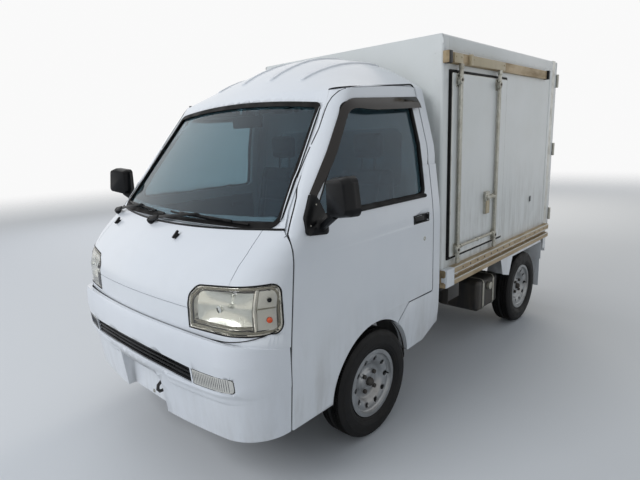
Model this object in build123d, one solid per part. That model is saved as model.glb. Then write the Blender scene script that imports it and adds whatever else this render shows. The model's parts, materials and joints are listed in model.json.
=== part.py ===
from build123d import *
import math
import os

# Kei truck with a high-roof cab and an insulated box. Millimetres. The nose points along -Y, the truck's
# left side is +X, the ground is z = 0, and the origin is under the middle of its length and width.

# Running gear
wheelbase = 1900.0
front_axle_y = -820.0
rear_axle_y = front_axle_y + wheelbase
tyre_radius = 271.0
tyre_width = 145.0
track = 1305.0
rim_radius = 154.0
rim_lip = 14.0
rim_half_seat = 52.0
vent_count = 10
hub_radius = 15.0
drum_radius = 105.0
running_clearance = 0.05
kingpin_foot = (600.0, 170.0)
kingpin_head = (505.0, 625.0)
axle_tube_radius = 34.0
spring_length = 860.0
leaf_width = 50.0
leaf_thickness = 8.0

# Cab
nose_y = -1642.0
bumper_y = -1682.0
ahead_y = bumper_y - 118
cab_rear_y = -236.0
bow_radius = 3000.0
wall = 50.0
door_skin = 15.0
door_gap = 8.0
door_relief = 14.0
door_front_y = -1378.0
door_rear_y = -310.0
seam = 3.0
arch_y = -828.0
arch_z = 300.0
arch_radius = 298.0
waist_z = 1112.0
lid_seam_z = 822.0
lid_half_width = 592.0
glass = 6.0
windscreen_corner = 45.0
seal_width = 22.0
seal_ledge = 14.0
seal_depth = 22.0
rear_sheet = 15.0
trim_clearance = 7.0
bumper_wall = 24.0
bumper_seam_z = 673.0
bumper_seam_slope = 0.24
lens = 5.0
floor_z = 470.0
platform_z = 645.0
sheet = 15.0
driver_x = -340.0
column_tilt = 52.0
wheel_centre = (driver_x, -1085.0, 1000.0)
wheel_rim_radius = 185.0

# Insulated box
box_front_y = -160.0
box_rear_y = 1655.0
box_half_width = 701.0
box_top_z = 1964.0
box_floor_z = 655.0
box_wall = 50.0
box_edge = 16.0
rail_stand = 36.0
rail_bottom_z = 585.0
rail_top_z = 690.0
upper_rail_z = 1845.0
side_door_front_y = box_front_y + 60
side_door_width = 760.0
side_door_bottom_z = 735.0
side_door_top_z = 1788.0
side_door_rim = 40.0
side_door_leaf = 8.0
plug_gap = 6.0
rear_door_gap = 6.0
rear_door_thick = 45.0
rear_post = 60.0
bar_stand = 27.0

# Chassis
rail_half_gauge = 300.0
rail_width = 50.0
rail_height = 85.0
rail_z = 370.0
bearer_height = 50.0
bearer_width = 60.0
bearer_wall = 5.0
bearer_count = 6
member = 40.0
fender_sheet = 4.0
plate_hole_spacing = 210.0
plate_hole_radius = 3.5


def on_side(outline, low_x, high_x):
    """Extrudes an outline given as (y, z) along X."""
    return extrude(Plane.YZ.offset(low_x) * outline, high_x - low_x)


def on_front(outline, low_y, high_y):
    """Extrudes an outline given as (x, z) along Y."""
    return extrude(Plane.XZ.offset(-low_y) * outline, -(high_y - low_y))


def filleted(corners):
    """A closed outline from (point, corner radius) pairs."""
    points = [point for point, radius in corners]
    return make_face(FilletPolyline(*points, radius=[radius for point, radius in corners], close=True))


def polygon(*points):
    return make_face(Polyline(*points, close=True))


def block(low, high):
    """A box from its lowest corner to its highest."""
    size = [b - a for a, b in zip(low, high)]
    return Pos(*low) * Box(*size, align=(Align.MIN, Align.MIN, Align.MIN))


def rod(start, end, radius):
    """A round bar between two points."""
    along = Vector(*end) - Vector(*start)
    return extrude(Plane(origin=start, z_dir=along) * Circle(radius), along.length)


def mirrored(shape):
    return mirror(shape, about=Plane.YZ)


def both_sides(shape):
    """The shape and its mirror image across the truck's middle."""
    return Compound(children=[shape, mirrored(shape)])


def write(name, shape):
    solids = shape.solids()
    export_step(solids[0] if len(solids) == 1 else Compound(children=solids), "parts/" + name + ".step")


def write_pair(name, left_shape):
    write(name + "_left", left_shape)
    write(name + "_right", mirrored(left_shape))


os.makedirs("parts", exist_ok=True)

# Cab form: plan outlines at heights, each with straight sides, round corners and a bowed front.
# Columns: z, half width, set back from the foremost point, corner radius.
nose_sections = [
    (295, 714, 6, 190),
    (500, 733, 0, 200),
    (620, 737, 0, 200),
    (850, 737, 6, 196),
    (910, 737, 24, 188),
    (955, 737, 55, 178),
    (1000, 737, 94, 160),
    (1050, 735, 152, 130),
    (1115, 729, 240, 80),
]
upper_sections = [(1115, 729, 240, 80), (1400, 693, 471, 76), (1690, 618, 705, 72), (1920, 536, 891, 68)]
bumper_sections = [
    (303, 716, 46, 200),
    (500, 733, 26, 212),
    (518, 736, 10, 214),
    (560, 737, 8, 215),
    (640, 738, 0, 215),
    (700, 738, 2, 215),
    (730, 738, 10, 212),
    (800, 737, 40, 205),
]
# Roof crown across the cab. Columns: y, top z, drop at the crown's reach from the middle.
crown_reach = 617.0
crown_edge = 700.0
crown_sections = [
    (-1060, 1560, 40),
    (-930, 1690, 50),
    (-780, 1790, 110),
    (-560, 1872, 182),
    (-350, 1898, 206),
    (-200, 1888, 200),
]
crown_steps = 3
crown_foot_z = 900.0


def plan_wire(z, half_width, front_y, corner, inset, rear_y):
    bow_centre = front_y + bow_radius
    corner = max(corner, inset + 5)
    corner_x = half_width - corner
    corner_y = bow_centre - math.sqrt((bow_radius - corner) ** 2 - corner_x**2)
    toward = math.atan2(corner_y - bow_centre, corner_x)
    radius = corner - inset
    bow = bow_radius - inset
    side_x = half_width - inset
    end = (bow * math.cos(toward), bow_centre + bow * math.sin(toward))
    middle = (corner_x + radius * math.cos(toward / 2), corner_y + radius * math.sin(toward / 2))
    edges = [
        Line((side_x, rear_y, z), (side_x, corner_y, z)),
        ThreePointArc((side_x, corner_y, z), (*middle, z), (*end, z)),
        ThreePointArc((*end, z), (0, front_y + inset, z), (-end[0], end[1], z)),
        ThreePointArc((-end[0], end[1], z), (-middle[0], middle[1], z), (-side_x, corner_y, z)),
        Line((-side_x, corner_y, z), (-side_x, rear_y, z)),
        Line((-side_x, rear_y, z), (side_x, rear_y, z)),
    ]
    return Wire(edges)


def plan_form(sections, foremost_y, inset=0.0, rear_y=cab_rear_y):
    wires = []
    for z, half, back, corner in sections:
        wires.append(plan_wire(z, half, foremost_y + back, corner, inset, rear_y))
    return Solid.make_loft(wires, ruled=True)


def nose_form(inset=0.0):
    return plan_form(nose_sections, nose_y, inset)


def upper_form(inset=0.0):
    return plan_form(upper_sections, nose_y, inset)


def crown_wire(y, top_z, drop, inset):
    radius = (crown_reach**2 + drop**2) / (2 * drop)
    edge_z = top_z - radius + math.sqrt(radius**2 - crown_edge**2)
    left, right = (-crown_edge, y, edge_z - inset), (crown_edge, y, edge_z - inset)
    low_left, low_right = (-crown_edge, y, crown_foot_z), (crown_edge, y, crown_foot_z)
    arc = ThreePointArc(left, (0, y, top_z - inset), right)
    return Wire([arc, Line(right, low_right), Line(low_right, low_left), Line(low_left, left)])


def smooth_rows(rows, steps):
    """Adds rows between the given ones along a smooth curve (Catmull-Rom)."""
    dense = []
    padded = [rows[0], *rows, rows[-1]]
    for before, low, high, after in zip(padded, padded[1:], padded[2:], padded[3:]):
        for step in range(steps):
            t = step / steps
            dense.append(
                tuple(
                    b + 0.5 * t * (c - a + t * (2 * a - 5 * b + 4 * c - d + t * (3 * (b - c) + d - a)))
                    for a, b, c, d in zip(before, low, high, after)
                )
            )
    return dense + [rows[-1]]


def crown_form(inset=0.0):
    return Solid.make_loft([crown_wire(*row, inset) for row in crown_rows], ruled=True)


def cab_form(inset=0.0):
    """The cab's outer form, or the same form brought in by a wall."""
    crown = crown_form(inset)
    crown += block((-800, ahead_y, crown_foot_z), (800, crown_sections[0][0], 1950))
    crown += block((-800, ahead_y, crown_foot_z), (800, -100, 1300))
    return nose_form(inset) + (upper_form(inset) & crown)


crown_rows = smooth_rows(crown_sections, crown_steps)
outer = cab_form()
inner = cab_form(wall)
skin = outer - inner

# The doors and windows reach inward from the side only as far as this core. Columns: height z, half width.
core_sections = [
    (200, 650),
    (500, 665),
    (900, 667),
    (1115, 660),
    (1400, 611),
    (1610, 573),
    (1690, 548),
    (1950, 480),
]
core_right = [(x, z) for z, x in core_sections]
core_left = [(-x, z) for z, x in reversed(core_sections)]
side_core = on_front(polygon(*core_right, *core_left), ahead_y, 0)

# Door and window outlines as (y, z), with the radius at each corner
door_face = filleted(
    [
        ((door_front_y, 298), 10),
        ((door_front_y, 620), 300),
        ((-1326, 1100), 30),
        ((-918, 1664), 70),
        ((door_rear_y, 1706), 22),
        ((door_rear_y, 618), 12),
        ((-548, 618), 25),
        ((-640, 540), 6),
        ((-640, 298), 6),
    ]
)
window_corners = [((-1206, 1150), 20), ((-905, 1602), 60), ((-372, 1612), 40), ((-372, 1150), 40)]
window_face = filleted(window_corners)
arch_circle = Pos(arch_y, arch_z) * Circle(arch_radius)
door_zone = on_side(door_face - arch_circle, 400, 800) - side_core
door_core_face = offset(door_face, -door_relief) - offset(arch_circle, door_relief)
door_core_zone = on_side(door_core_face, 400, 800) - side_core
opening_zone = on_side(offset(door_face, door_gap), 400, 800) - side_core
opening_zones = opening_zone + mirrored(opening_zone)
window_zone = on_side(window_face, 400, 800) - side_core

windscreen_face = make_face(
    [
        ThreePointArc((-650, 1122), (0, 1104), (650, 1122)),
        Line((650, 1122), (556, 1610)),
        ThreePointArc((556, 1610), (0, 1640), (-556, 1610)),
        Line((-556, 1610), (-650, 1122)),
    ]
)
windscreen_face = fillet(windscreen_face.vertices(), windscreen_corner)
glass_face = offset(windscreen_face, -seal_width)
windscreen_hole = on_front(offset(windscreen_face, -seal_width - seal_ledge), ahead_y, -700)
seal_bed = (upper_form(-4) - upper_form(seal_depth)) & on_front(windscreen_face, ahead_y, -700)


def pane(zone, depth):
    """Glass that follows the cab's upper form at a depth below the skin."""
    return (upper_form(depth) - upper_form(depth + glass)) & zone


# Roof, with four raised strakes that run back from its brow
roof_zone = on_side(polygon((-1050, 1654), (-200, 1718), (-200, 2000), (-1050, 2000)), -900, 900)
strake_height = 7.0
strake_xs = (-330, -110, 110, 330)
strake_rows = [Pos(x, -540) * SlotOverall(620, 26, rotation=90) for x in strake_xs]
strake_zone = extrude(Plane.XY.offset(1600) * (Sketch() + strake_rows), 400)
strakes = (crown_form(-strake_height) - crown_form(2)) & strake_zone
roof_panel = (skin & roof_zone) + strakes
write("roof_panel", roof_panel)

# Cab frame: pillars, sills behind the doors and the rails over them
frame_face = polygon(
    (-1600, waist_z),
    (-700, waist_z),
    (-700, 345),
    (-570, 341),
    (-380, 348),
    (-275, 400),
    (cab_rear_y, 412),
    (-200, 412),
    (-200, 2000),
    (-1600, 2000),
)
frame_zone = on_side(frame_face - arch_circle, -900, 900) - roof_zone - windscreen_hole
cab_frame = (skin & frame_zone) - opening_zones - seal_bed
write("cab_frame", cab_frame)

# Front panel round the lamps, and the lid between them
lamp_face = filleted([((403, 750), 14), ((403, 884), 20), ((440, 922), 24), ((800, 950), 6), ((800, 750), 6)])
lamp_faces = lamp_face + mirrored(lamp_face)
lamp_depth = (ahead_y, -1408)
seam_front = (ahead_y, bumper_seam_z + bumper_seam_slope * (door_front_y + 1800))
seam_rear = (-1200, bumper_seam_z + bumper_seam_slope * (door_front_y + 1200))
front_zone = on_side(polygon(seam_front, seam_rear, (-1200, waist_z), (ahead_y, waist_z)), -900, 900)
lid_face = make_face(
    [
        ThreePointArc((-lid_half_width, lid_seam_z), (0, lid_seam_z + 10), (lid_half_width, lid_seam_z)),
        Line((lid_half_width, lid_seam_z), (lid_half_width, 1040)),
        Line((lid_half_width, 1040), (574, 1130)),
        Line((574, 1130), (-574, 1130)),
        Line((-574, 1130), (-lid_half_width, 1040)),
        Line((-lid_half_width, 1040), (-lid_half_width, lid_seam_z)),
    ]
)
front_skin = (skin & front_zone) - opening_zones - on_front(windscreen_face, ahead_y, -700)
lamp_hole = on_front(lamp_faces, *lamp_depth)
front_skin -= lamp_hole
front_lid = front_skin & on_front(offset(lid_face, -seam), ahead_y, -1200)
front_panel = front_skin - on_front(lid_face, ahead_y, -1200)
bulkhead_inset = (60, 90)
bulkhead_top = bumper_seam_z + 110
bulkhead = nose_form(bulkhead_inset[0]) - nose_form(bulkhead_inset[1])
bulkhead &= block((-900, ahead_y, floor_z - 70), (900, -1400, bulkhead_top))
flange = (nose_form() - nose_form(bulkhead_inset[1])) & front_zone
flange &= block((-900, ahead_y, bulkhead_top - 40), (900, -1400, bulkhead_top - 26))
front_panel = front_panel + bulkhead + (flange - lamp_hole)
write("front_panel", front_panel)
write("front_lid", front_lid)

# Headlamps: a lens over a housing with two bowls, the smaller one for the indicator
lamp_fit = offset(lamp_face, -seam)
bowl_faces = offset(lamp_face, -seam - 9) - Pos(687, 850) * Rectangle(8, 300)
lens_layer = nose_form() - nose_form(lens)
housing_layer = nose_form(lens) - nose_form(wall)
bowl_layer = nose_form(lens) - nose_form(wall - 6)
lamp_room = on_front(lamp_fit, *lamp_depth) - opening_zone
headlamp_lens = lens_layer & lamp_room
bowls = bowl_layer & on_front(bowl_faces, ahead_y, lamp_depth[1] - 12)
headlamp_housing = (housing_layer & lamp_room) - bowls
write("headlamp_lenses", both_sides(headlamp_lens))

# Rear wall of the cab and its window
rear_zone = block((-900, cab_rear_y - rear_sheet, floor_z + 30), (900, cab_rear_y, 2000))
rear_window_face = Pos(0, 1330) * RectangleRounded(1000, 330, 60)
rear_window_hole = on_front(rear_window_face, cab_rear_y - 60, cab_rear_y + 60)
write("rear_panel", (inner & rear_zone) - rear_window_hole)
write("rear_window", on_front(rear_window_face, cab_rear_y - 11, cab_rear_y - 11 + glass))

# Doors: a full outer skin over a core that stands back from the edges, a window and a handle pocket
door_inner = cab_form(door_skin)
door_left = ((outer & door_zone) - door_inner) + ((door_inner & door_core_zone) - inner) - window_zone
handle_y, handle_z = -425.0, 1034.0
handle_size = (143, 40)
handle_depth = 20
pocket = on_side(Pos(handle_y, handle_z) * RectangleRounded(*handle_size, 18), 737 - handle_depth, 760)
paddle = on_side(Pos(handle_y - 22, handle_z + 3) * RectangleRounded(86, 24, 9), 734 - handle_depth, 731)
door_left = door_left - pocket + paddle
write_pair("door", door_left)
write_pair("door_glass", pane(window_zone, 18))
write("windscreen", pane(on_front(glass_face, ahead_y, -700), 8))
write("windscreen_seal", seal_bed - on_front(glass_face, ahead_y, -700))

# Front bumper: a bowed shell with an air slot, two lamp openings, a tow recess and plate slots,
# and two ribs that meet the bulkhead
bumper_rear_y = door_front_y - door_gap
slot_x = 430
fog_x = (slot_x + 10, 640)
bumper_form = plan_form(bumper_sections, bumper_y, 0, bumper_rear_y)
bumper_inner = plan_form(bumper_sections, bumper_y, bumper_wall, bumper_rear_y + 50)
bumper_zone = on_side(polygon(seam_front, seam_rear, (-1200, 200), (ahead_y, 200)), -900, 900)
slot_face = make_face(
    [
        ThreePointArc((-slot_x, 597), (0, 622), (slot_x, 597)),
        Line((slot_x, 597), (slot_x, 528)),
        ThreePointArc((slot_x, 528), (0, 550), (-slot_x, 528)),
        Line((-slot_x, 528), (-slot_x, 597)),
    ]
)
slot_zone = on_front(slot_face, ahead_y, -1560)
fog_inner = [((fog_x[0], 530), 8), ((fog_x[0], 597), 8)]
fog_face = filleted([*fog_inner, ((fog_x[1], 590), 14), ((fog_x[1], 530), 14)])
fog_hole = on_front(fog_face, ahead_y, -1540)
recess_half = 185
recess_y = bumper_y + 88
recess_wall = 8
recess_top_z = 486
recess_top = [((-recess_half, recess_top_z), 8), ((recess_half, recess_top_z), 60)]
recess_face = filleted([((-recess_half, 280), 4), *recess_top, ((recess_half, 280), 4)])
recess_rim = offset(recess_face, recess_wall)
bumper_core = plan_form(bumper_sections, bumper_y, bumper_wall / 2, bumper_rear_y + 50)
recess_tray = on_front(recess_rim - recess_face, ahead_y, recess_y + 1) & bumper_core
recess_tray += on_front(recess_rim, recess_y, recess_y + recess_wall) & bumper_core
plate_slot_x = -recess_half - 35
plate_slot_z = 480
plate_slot_xs = (plate_slot_x, plate_slot_x - plate_hole_spacing)
plate_slots = [Pos(x, plate_slot_z) * SlotOverall(26, 9) for x in plate_slot_xs]
ribs = block((280, ahead_y, 400), (320, -1500, 500))
ribs += mirrored(ribs)
ribs = (bumper_core & ribs) - nose_form(bulkhead_inset[0])
recess_hole = on_front(recess_face, ahead_y, recess_y - 1)
bumper = ((bumper_form - bumper_inner) & bumper_zone) - slot_zone - fog_hole - mirrored(fog_hole)
bumper = bumper - recess_hole + recess_tray + ribs
bumper -= on_front(Sketch() + plate_slots, ahead_y, -1500)
write("bumper", bumper)
fog_lamp = (bumper_form - plan_form(bumper_sections, bumper_y, bumper_wall - 4, bumper_rear_y + 50))
fog_lamp &= on_front(offset(fog_face, -1), ahead_y, -1540)
write("front_lamps", Compound(children=[both_sides(headlamp_housing), both_sides(fog_lamp)]))
grille_layer = plan_form(bumper_sections, bumper_y, 10) - plan_form(bumper_sections, bumper_y, 20)
grille_slits = [Pos(x, z) * Rectangle(90, 11) for x in range(-380, 400, 95) for z in (558, 576, 594)]
grille = grille_layer & on_front(offset(slot_face, -0.5), ahead_y, -1560)
write("grille", grille - on_front(Sketch() + grille_slits, ahead_y, -1500))

# Floor: foot well on the chassis rails, riser, and the platform that the seats stand on
riser_y = -1150.0
floor_rear_y = cab_rear_y - rear_sheet
floor_line = polygon(
    (-1700, floor_z),
    (riser_y, floor_z),
    (riser_y + 30, platform_z),
    (floor_rear_y, platform_z),
    (floor_rear_y, platform_z - sheet),
    (riser_y + 30 + sheet, platform_z - sheet),
    (riser_y + sheet, floor_z - sheet),
    (-1700, floor_z - sheet),
)
floor_slab = on_side(floor_line, -800, 800)
cab_space = nose_form(wall + trim_clearance)
behind_doors = block((-800, door_rear_y + 10, 300), (800, 0, 1000))
cab_floor = (floor_slab & cab_space) + (floor_slab & nose_form(wall) & behind_doors)
before_bulkhead = block((-800, ahead_y, 300), (800, -1400, 900)) - nose_form(bulkhead_inset[1])
write("cab_floor", cab_floor - before_bulkhead)

dash_face = filleted(
    [
        ((-1640, 760), 5),
        ((-1300, 760), 50),
        ((-1205, 860), 40),
        ((-1215, 1000), 40),
        ((-1330, 1062), 40),
        ((-1640, 1062), 5),
    ]
)
column_angle = math.radians(column_tilt)
column_dir = (0, math.cos(column_angle), math.sin(column_angle))


def along_column(distance):
    return tuple(c + distance * d for c, d in zip(wheel_centre, column_dir))


column_tube = rod(along_column(-430), along_column(-45), 30)
dashboard = (on_side(dash_face, -800, 800) & nose_form(wall + trim_clearance + 38)) - column_tube
write("dashboard", dashboard)
write("steering_column", column_tube + rod(along_column(-45), along_column(-4), hub_radius))

hub_plane = Plane(origin=wheel_centre, z_dir=column_dir)
steering_wheel = hub_plane * Torus(wheel_rim_radius, 13)
steering_wheel += hub_plane * Pos(0, 0, -20) * Cylinder(52, 40)
for angle in (-150, -30, 90):
    spoke = Box(wheel_rim_radius - 30, 26, 12, align=(Align.MIN, Align.CENTER, Align.CENTER))
    steering_wheel += hub_plane * Rot(0, 0, angle) * Pos(30, 0, 0) * spoke
steering_wheel -= hub_plane * Pos(0, 0, -20) * Cylinder(hub_radius + running_clearance, 44)
write("steering_wheel", steering_wheel)

# Seats, one each side of the middle
cushion = fillet(block((110, -1010, platform_z), (580, -500, platform_z + 120)).edges(), 22)
back_face = filleted([((-530, 730), 30), ((-420, 730), 20), ((-320, 1290), 30), ((-400, 1300), 30)])
seat_back = on_side(back_face, 115, 575)
seat_back = fillet(seat_back.edges().filter_by(Plane.YZ), 18)
head_rest = fillet(block((240, -395, 1325), (450, -315, 1480)).edges(), 25)
posts = rod((300, -360, 1280), (300, -352, 1340), 6) + rod((390, -360, 1280), (390, -352, 1340), 6)
write("seats", both_sides(cushion + seat_back + head_rest + posts))

# Mirrors: a head on an arm from a base plate in the door's front corner
mirror_pivot = (756, -1192)
mirror_head_face = filleted([((-72, -88), 26), ((-74, 66), 22), ((50, 80), 30), ((76, -64), 30)])
mirror_plane = Plane(origin=(889, -1222, 1246), x_dir=(0.96, -0.28, 0), z_dir=(-0.28, -0.96, 0))
mirror_head = extrude(mirror_plane * mirror_head_face, -30)
mirror_head += extrude(mirror_plane * mirror_head_face, 34, taper=16)
base_corners = [
    ((-1268, 1092), 16),
    ((-1258, 1158), 30),
    ((-1202, 1244), 6),
    ((-1186, 1238), 8),
    ((-1138, 1136), 20),
    ((-1145, 1080), 16),
]
mirror_base = on_side(filleted(base_corners), 600, 760)
mirror_base &= upper_form(-12) + nose_form(-12)
mirror_foot = mirror_base + rod((710, -1185, 1110), (*mirror_pivot, 1122), 26)
mirror_arm = rod((*mirror_pivot, 1120), (850, -1226, 1176), 15) + mirror_head
write_pair("mirror", (mirror_foot + mirror_arm) - outer)


def on_screen(x, z, lift):
    """A point of the windscreen's surface, raised outward."""
    low, high = upper_sections[0], upper_sections[1]
    slope = (high[2] - low[2]) / (high[0] - low[0])
    surface_y = nose_y + low[2] + (z - low[0]) * slope + x**2 / (2 * bow_radius)
    return (x, surface_y - lift, z)


# Wipers: a pivot cap on the cowl, an arm and a blade on the windscreen.
# Columns: pivot, arm tip and both blade ends, as (x, z).
wiper_rows = [
    ((-150, 1096), (230, 1136), (-30, 1132), (500, 1124)),
    ((-645, 1096), (-330, 1138), (-560, 1132), (-90, 1126)),
]
wipers = []
for pivot, tip, blade_start, blade_end in wiper_rows:
    cap = rod(on_screen(*pivot, -12), on_screen(*pivot, 22), 16)
    arm = rod(on_screen(*pivot, 14), on_screen(*tip, 20), 7)
    blade = rod(on_screen(*blade_start, 12), on_screen(*tip, 13), 7)
    blade += rod(on_screen(*tip, 13), on_screen(*blade_end, 12), 7)
    wipers.append((cap + arm + blade) - outer - seal_bed)
write("wipers", Compound(children=wipers))

# Wheels. Profile as (distance out from the tyre's middle, radius).
half_tyre = tyre_width / 2
bead_radius = rim_radius + rim_lip + 1
tyre_side = [
    (rim_half_seat, rim_radius),
    (rim_half_seat, bead_radius),
    (half_tyre - 5, bead_radius + 9),
    (half_tyre, 214),
    (half_tyre - 3, 240),
    (half_tyre - 12, tyre_radius - 9),
    (half_tyre - 24, tyre_radius),
]
tyre_face = polygon(*tyre_side, *[(-along, radius) for along, radius in reversed(tyre_side)])
rim_face = polygon(
    (-rim_half_seat - 8, rim_radius + rim_lip),
    (-rim_half_seat, rim_radius + rim_lip),
    (-rim_half_seat, rim_radius),
    (rim_half_seat, rim_radius),
    (rim_half_seat, rim_radius + rim_lip),
    (rim_half_seat + 5, rim_radius + rim_lip),
    (rim_half_seat + 5, rim_radius - 4),
    (40, rim_radius - 10),
    (44, 128),
    (36, 104),
    (10, 84),
    (10, 62),
    (28, 46),
    (28, hub_radius + running_clearance),
    (-20, hub_radius + running_clearance),
    (-20, 60),
    (-2, 66),
    (2, 92),
    (28, 110),
    (34, 128),
    (30, rim_radius - 8),
    (-rim_half_seat - 4, rim_radius - 6),
    (-rim_half_seat - 8, rim_radius),
)


def turned(profile):
    """Revolves a profile given as (along X, radius) about the X axis."""
    return revolve(Plane.XY * profile, Axis.X)


vent = Pos(0, 118, 0) * Rot(0, 90, 0) * Cylinder(13, 200)
nut = Pos(18, 54, 0) * Rot(0, 90, 0) * extrude(RegularPolygon(10, 6), 13, both=True)
tyre = turned(tyre_face)
rim = turned(rim_face) - [Rot(360 / vent_count * n, 0, 0) * vent for n in range(vent_count)]
rim += [Rot(45 + 90 * n, 0, 0) * nut for n in range(4)]
wheel_x = track / 2
wheel_places = [
    ("front_left", wheel_x, front_axle_y, 0),
    ("front_right", -wheel_x, front_axle_y, 180),
    ("rear_left", wheel_x, rear_axle_y, 0),
    ("rear_right", -wheel_x, rear_axle_y, 180),
]
for name, x, y, turn in wheel_places:
    place = Pos(x, y, tyre_radius) * Rot(0, 0, turn)
    write("tyre_" + name, place * tyre)
    write("rim_" + name, place * rim)

# Knuckles with their struts, drums and stub axles
hub_face_x = wheel_x - 26
axle_end_x = wheel_x + 24


def on_kingpin(z):
    share = (z - kingpin_foot[1]) / (kingpin_head[1] - kingpin_foot[1])
    return (kingpin_foot[0] + share * (kingpin_head[0] - kingpin_foot[0]), front_axle_y, z)


knuckle = rod(on_kingpin(kingpin_foot[1]), on_kingpin(330), 15) + rod(on_kingpin(300), on_kingpin(520), 24)
knuckle += rod(on_kingpin(500), on_kingpin(kingpin_head[1]), 14)
knuckle += block((560, front_axle_y - 32, 232), (hub_face_x - 8, front_axle_y + 32, 310))
front_hub = Pos(0, front_axle_y, tyre_radius)
knuckle += front_hub * rod((hub_face_x - 10, 0, 0), (hub_face_x, 0, 0), drum_radius)
knuckle += front_hub * rod((hub_face_x - 2, 0, 0), (axle_end_x, 0, 0), hub_radius)
write_pair("knuckle", knuckle)

# Chassis: two long rails, stepped up behind the cab to carry the box, with cross members and bearers between
rail_top = rail_z + rail_height
box_bottom_z = box_floor_z - box_wall
bearer_z = box_bottom_z - bearer_height
frame_front_y = nose_y + 107
frame_rear_y = box_rear_y - 21
rail_inner_x = rail_half_gauge - rail_width / 2
rail_outer_x = rail_half_gauge + rail_width / 2
frame_step_y = box_front_y + 10
rail_side = polygon(
    (frame_front_y, rail_z),
    (frame_front_y, rail_top),
    (frame_step_y - 40, rail_top),
    (frame_step_y, bearer_z),
    (frame_rear_y, bearer_z),
    (frame_rear_y, rail_z),
)
write("chassis_rails", both_sides(on_side(rail_side, rail_inner_x, rail_outer_x) - bulkhead))
member_ys = [
    frame_front_y,
    front_axle_y - 80,
    frame_step_y,
    rear_axle_y - 640,
    rear_axle_y + 320,
    frame_rear_y - member,
]
members = []
for y in member_ys:
    members.append(block((-rail_inner_x, y, rail_top - member), (rail_inner_x, y + member, rail_top)))
bearer_pitch = (frame_rear_y - bearer_width - frame_step_y - 20) / (bearer_count - 1)
for n in range(bearer_count):
    y = frame_step_y + 20 + n * bearer_pitch
    beside_wheel = abs(y + bearer_width / 2 - rear_axle_y) < tyre_radius + 90
    reach = wheel_x - half_tyre - 25 if beside_wheel else box_half_width - 12
    bearer = polygon(
        (y, bearer_z),
        (y + bearer_width, bearer_z),
        (y + bearer_width, bearer_z + bearer_wall),
        (y + bearer_wall, bearer_z + bearer_wall),
        (y + bearer_wall, box_bottom_z - bearer_wall),
        (y + bearer_width, box_bottom_z - bearer_wall),
        (y + bearer_width, box_bottom_z),
        (y, box_bottom_z),
    )
    members.append(on_side(bearer, -reach, reach))
write("cross_members", Compound(children=members))

arm_z = kingpin_foot[1] - 16
subframe = block((-rail_outer_x, front_axle_y - 50, 150), (rail_outer_x, front_axle_y + 50, 240))
leg = block((rail_inner_x, front_axle_y - 40, 235), (rail_outer_x, front_axle_y + 40, rail_z))
arm_root_x, arm_tip_x = 250, kingpin_foot[0]
arm_face = polygon(
    (arm_root_x, front_axle_y - 45),
    (arm_tip_x, front_axle_y - 18),
    (arm_tip_x, front_axle_y + 18),
    (arm_root_x, front_axle_y + 45),
)
arm = extrude(Pos(0, 0, arm_z - 20) * arm_face, 32)
write("front_subframe", subframe + leg + mirrored(leg) + arm + mirrored(arm))

differential = Pos(0, rear_axle_y, tyre_radius) * Rot(0, 90, 0) * Cylinder(92, 120)
differential = fillet(differential.edges(), 30)
tube = rod((0, rear_axle_y, tyre_radius), (wheel_x - 34, rear_axle_y, tyre_radius), axle_tube_radius)
tube += rod((hub_face_x - 22, rear_axle_y, tyre_radius), (hub_face_x, rear_axle_y, tyre_radius), drum_radius)
tube += rod((hub_face_x - 1, rear_axle_y, tyre_radius), (axle_end_x, rear_axle_y, tyre_radius), hub_radius)
write("rear_axle", tube + mirrored(tube) + differential)

# Leaf springs: three leaves of falling length, bowed down to the axle, and an eye bracket at each end
leaf_z = tyre_radius + axle_tube_radius
half_spring = spring_length / 2
rail_room = rail_z - leaf_z
saddle_low = (rail_half_gauge - 30, rear_axle_y - 40, leaf_z - 2)
spring = block(saddle_low, (rail_half_gauge + 30, rear_axle_y + 40, leaf_z + 36))
for level, half in enumerate((half_spring, 0.7 * half_spring, 0.42 * half_spring)):
    low = leaf_z + 20 - leaf_thickness * level
    high = low + leaf_thickness
    rise = 34 * (half / half_spring) ** 2
    band = make_face(
        [
            ThreePointArc((-half, low + rise), (0, low), (half, low + rise)),
            Line((half, low + rise), (half, high + rise)),
            ThreePointArc((half, high + rise), (0, high), (-half, high + rise)),
            Line((-half, high + rise), (-half, low + rise)),
        ]
    )
    leaf_low_x = rail_half_gauge - leaf_width / 2
    spring += on_side(Pos(rear_axle_y, 0) * band, leaf_low_x, leaf_low_x + leaf_width)
for end in (-1, 1):
    y = rear_axle_y + end * (half_spring - 10)
    bracket_low = (rail_half_gauge - 28, y - 22, leaf_z + 0.6 * rail_room)
    spring += block(bracket_low, (rail_half_gauge + 28, y + 22, rail_z))
spring -= rod((0, rear_axle_y, tyre_radius), (700, rear_axle_y, tyre_radius), axle_tube_radius)
write("leaf_springs", both_sides(spring))

engine_front_y, engine_rear_y = front_axle_y + 80, front_axle_y + 520
engine = fillet(block((-190, engine_front_y, 262), (190, engine_rear_y, 560)).edges(), 20)
write("engine", engine)
shaft = rod((0, engine_rear_y - 20, 380), (0, rear_axle_y - 80, 285), 26)
write("propeller_shaft", shaft - engine - differential)
muffler_y = rear_axle_y + 370
pipe = rod((-130, engine_rear_y - 20, 388), (-130, muffler_y - 10, 388), 20)
muffler = fillet(rod((-230, muffler_y, 336), (230, muffler_y, 336), 60).edges(), 12)
write("exhaust", (pipe + muffler) - engine)
tank = block((rail_outer_x + 20, rear_axle_y - 640, 235), (660, rear_axle_y - 320, rail_top))
write("fuel_tank", fillet(tank.edges(), 30))

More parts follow.
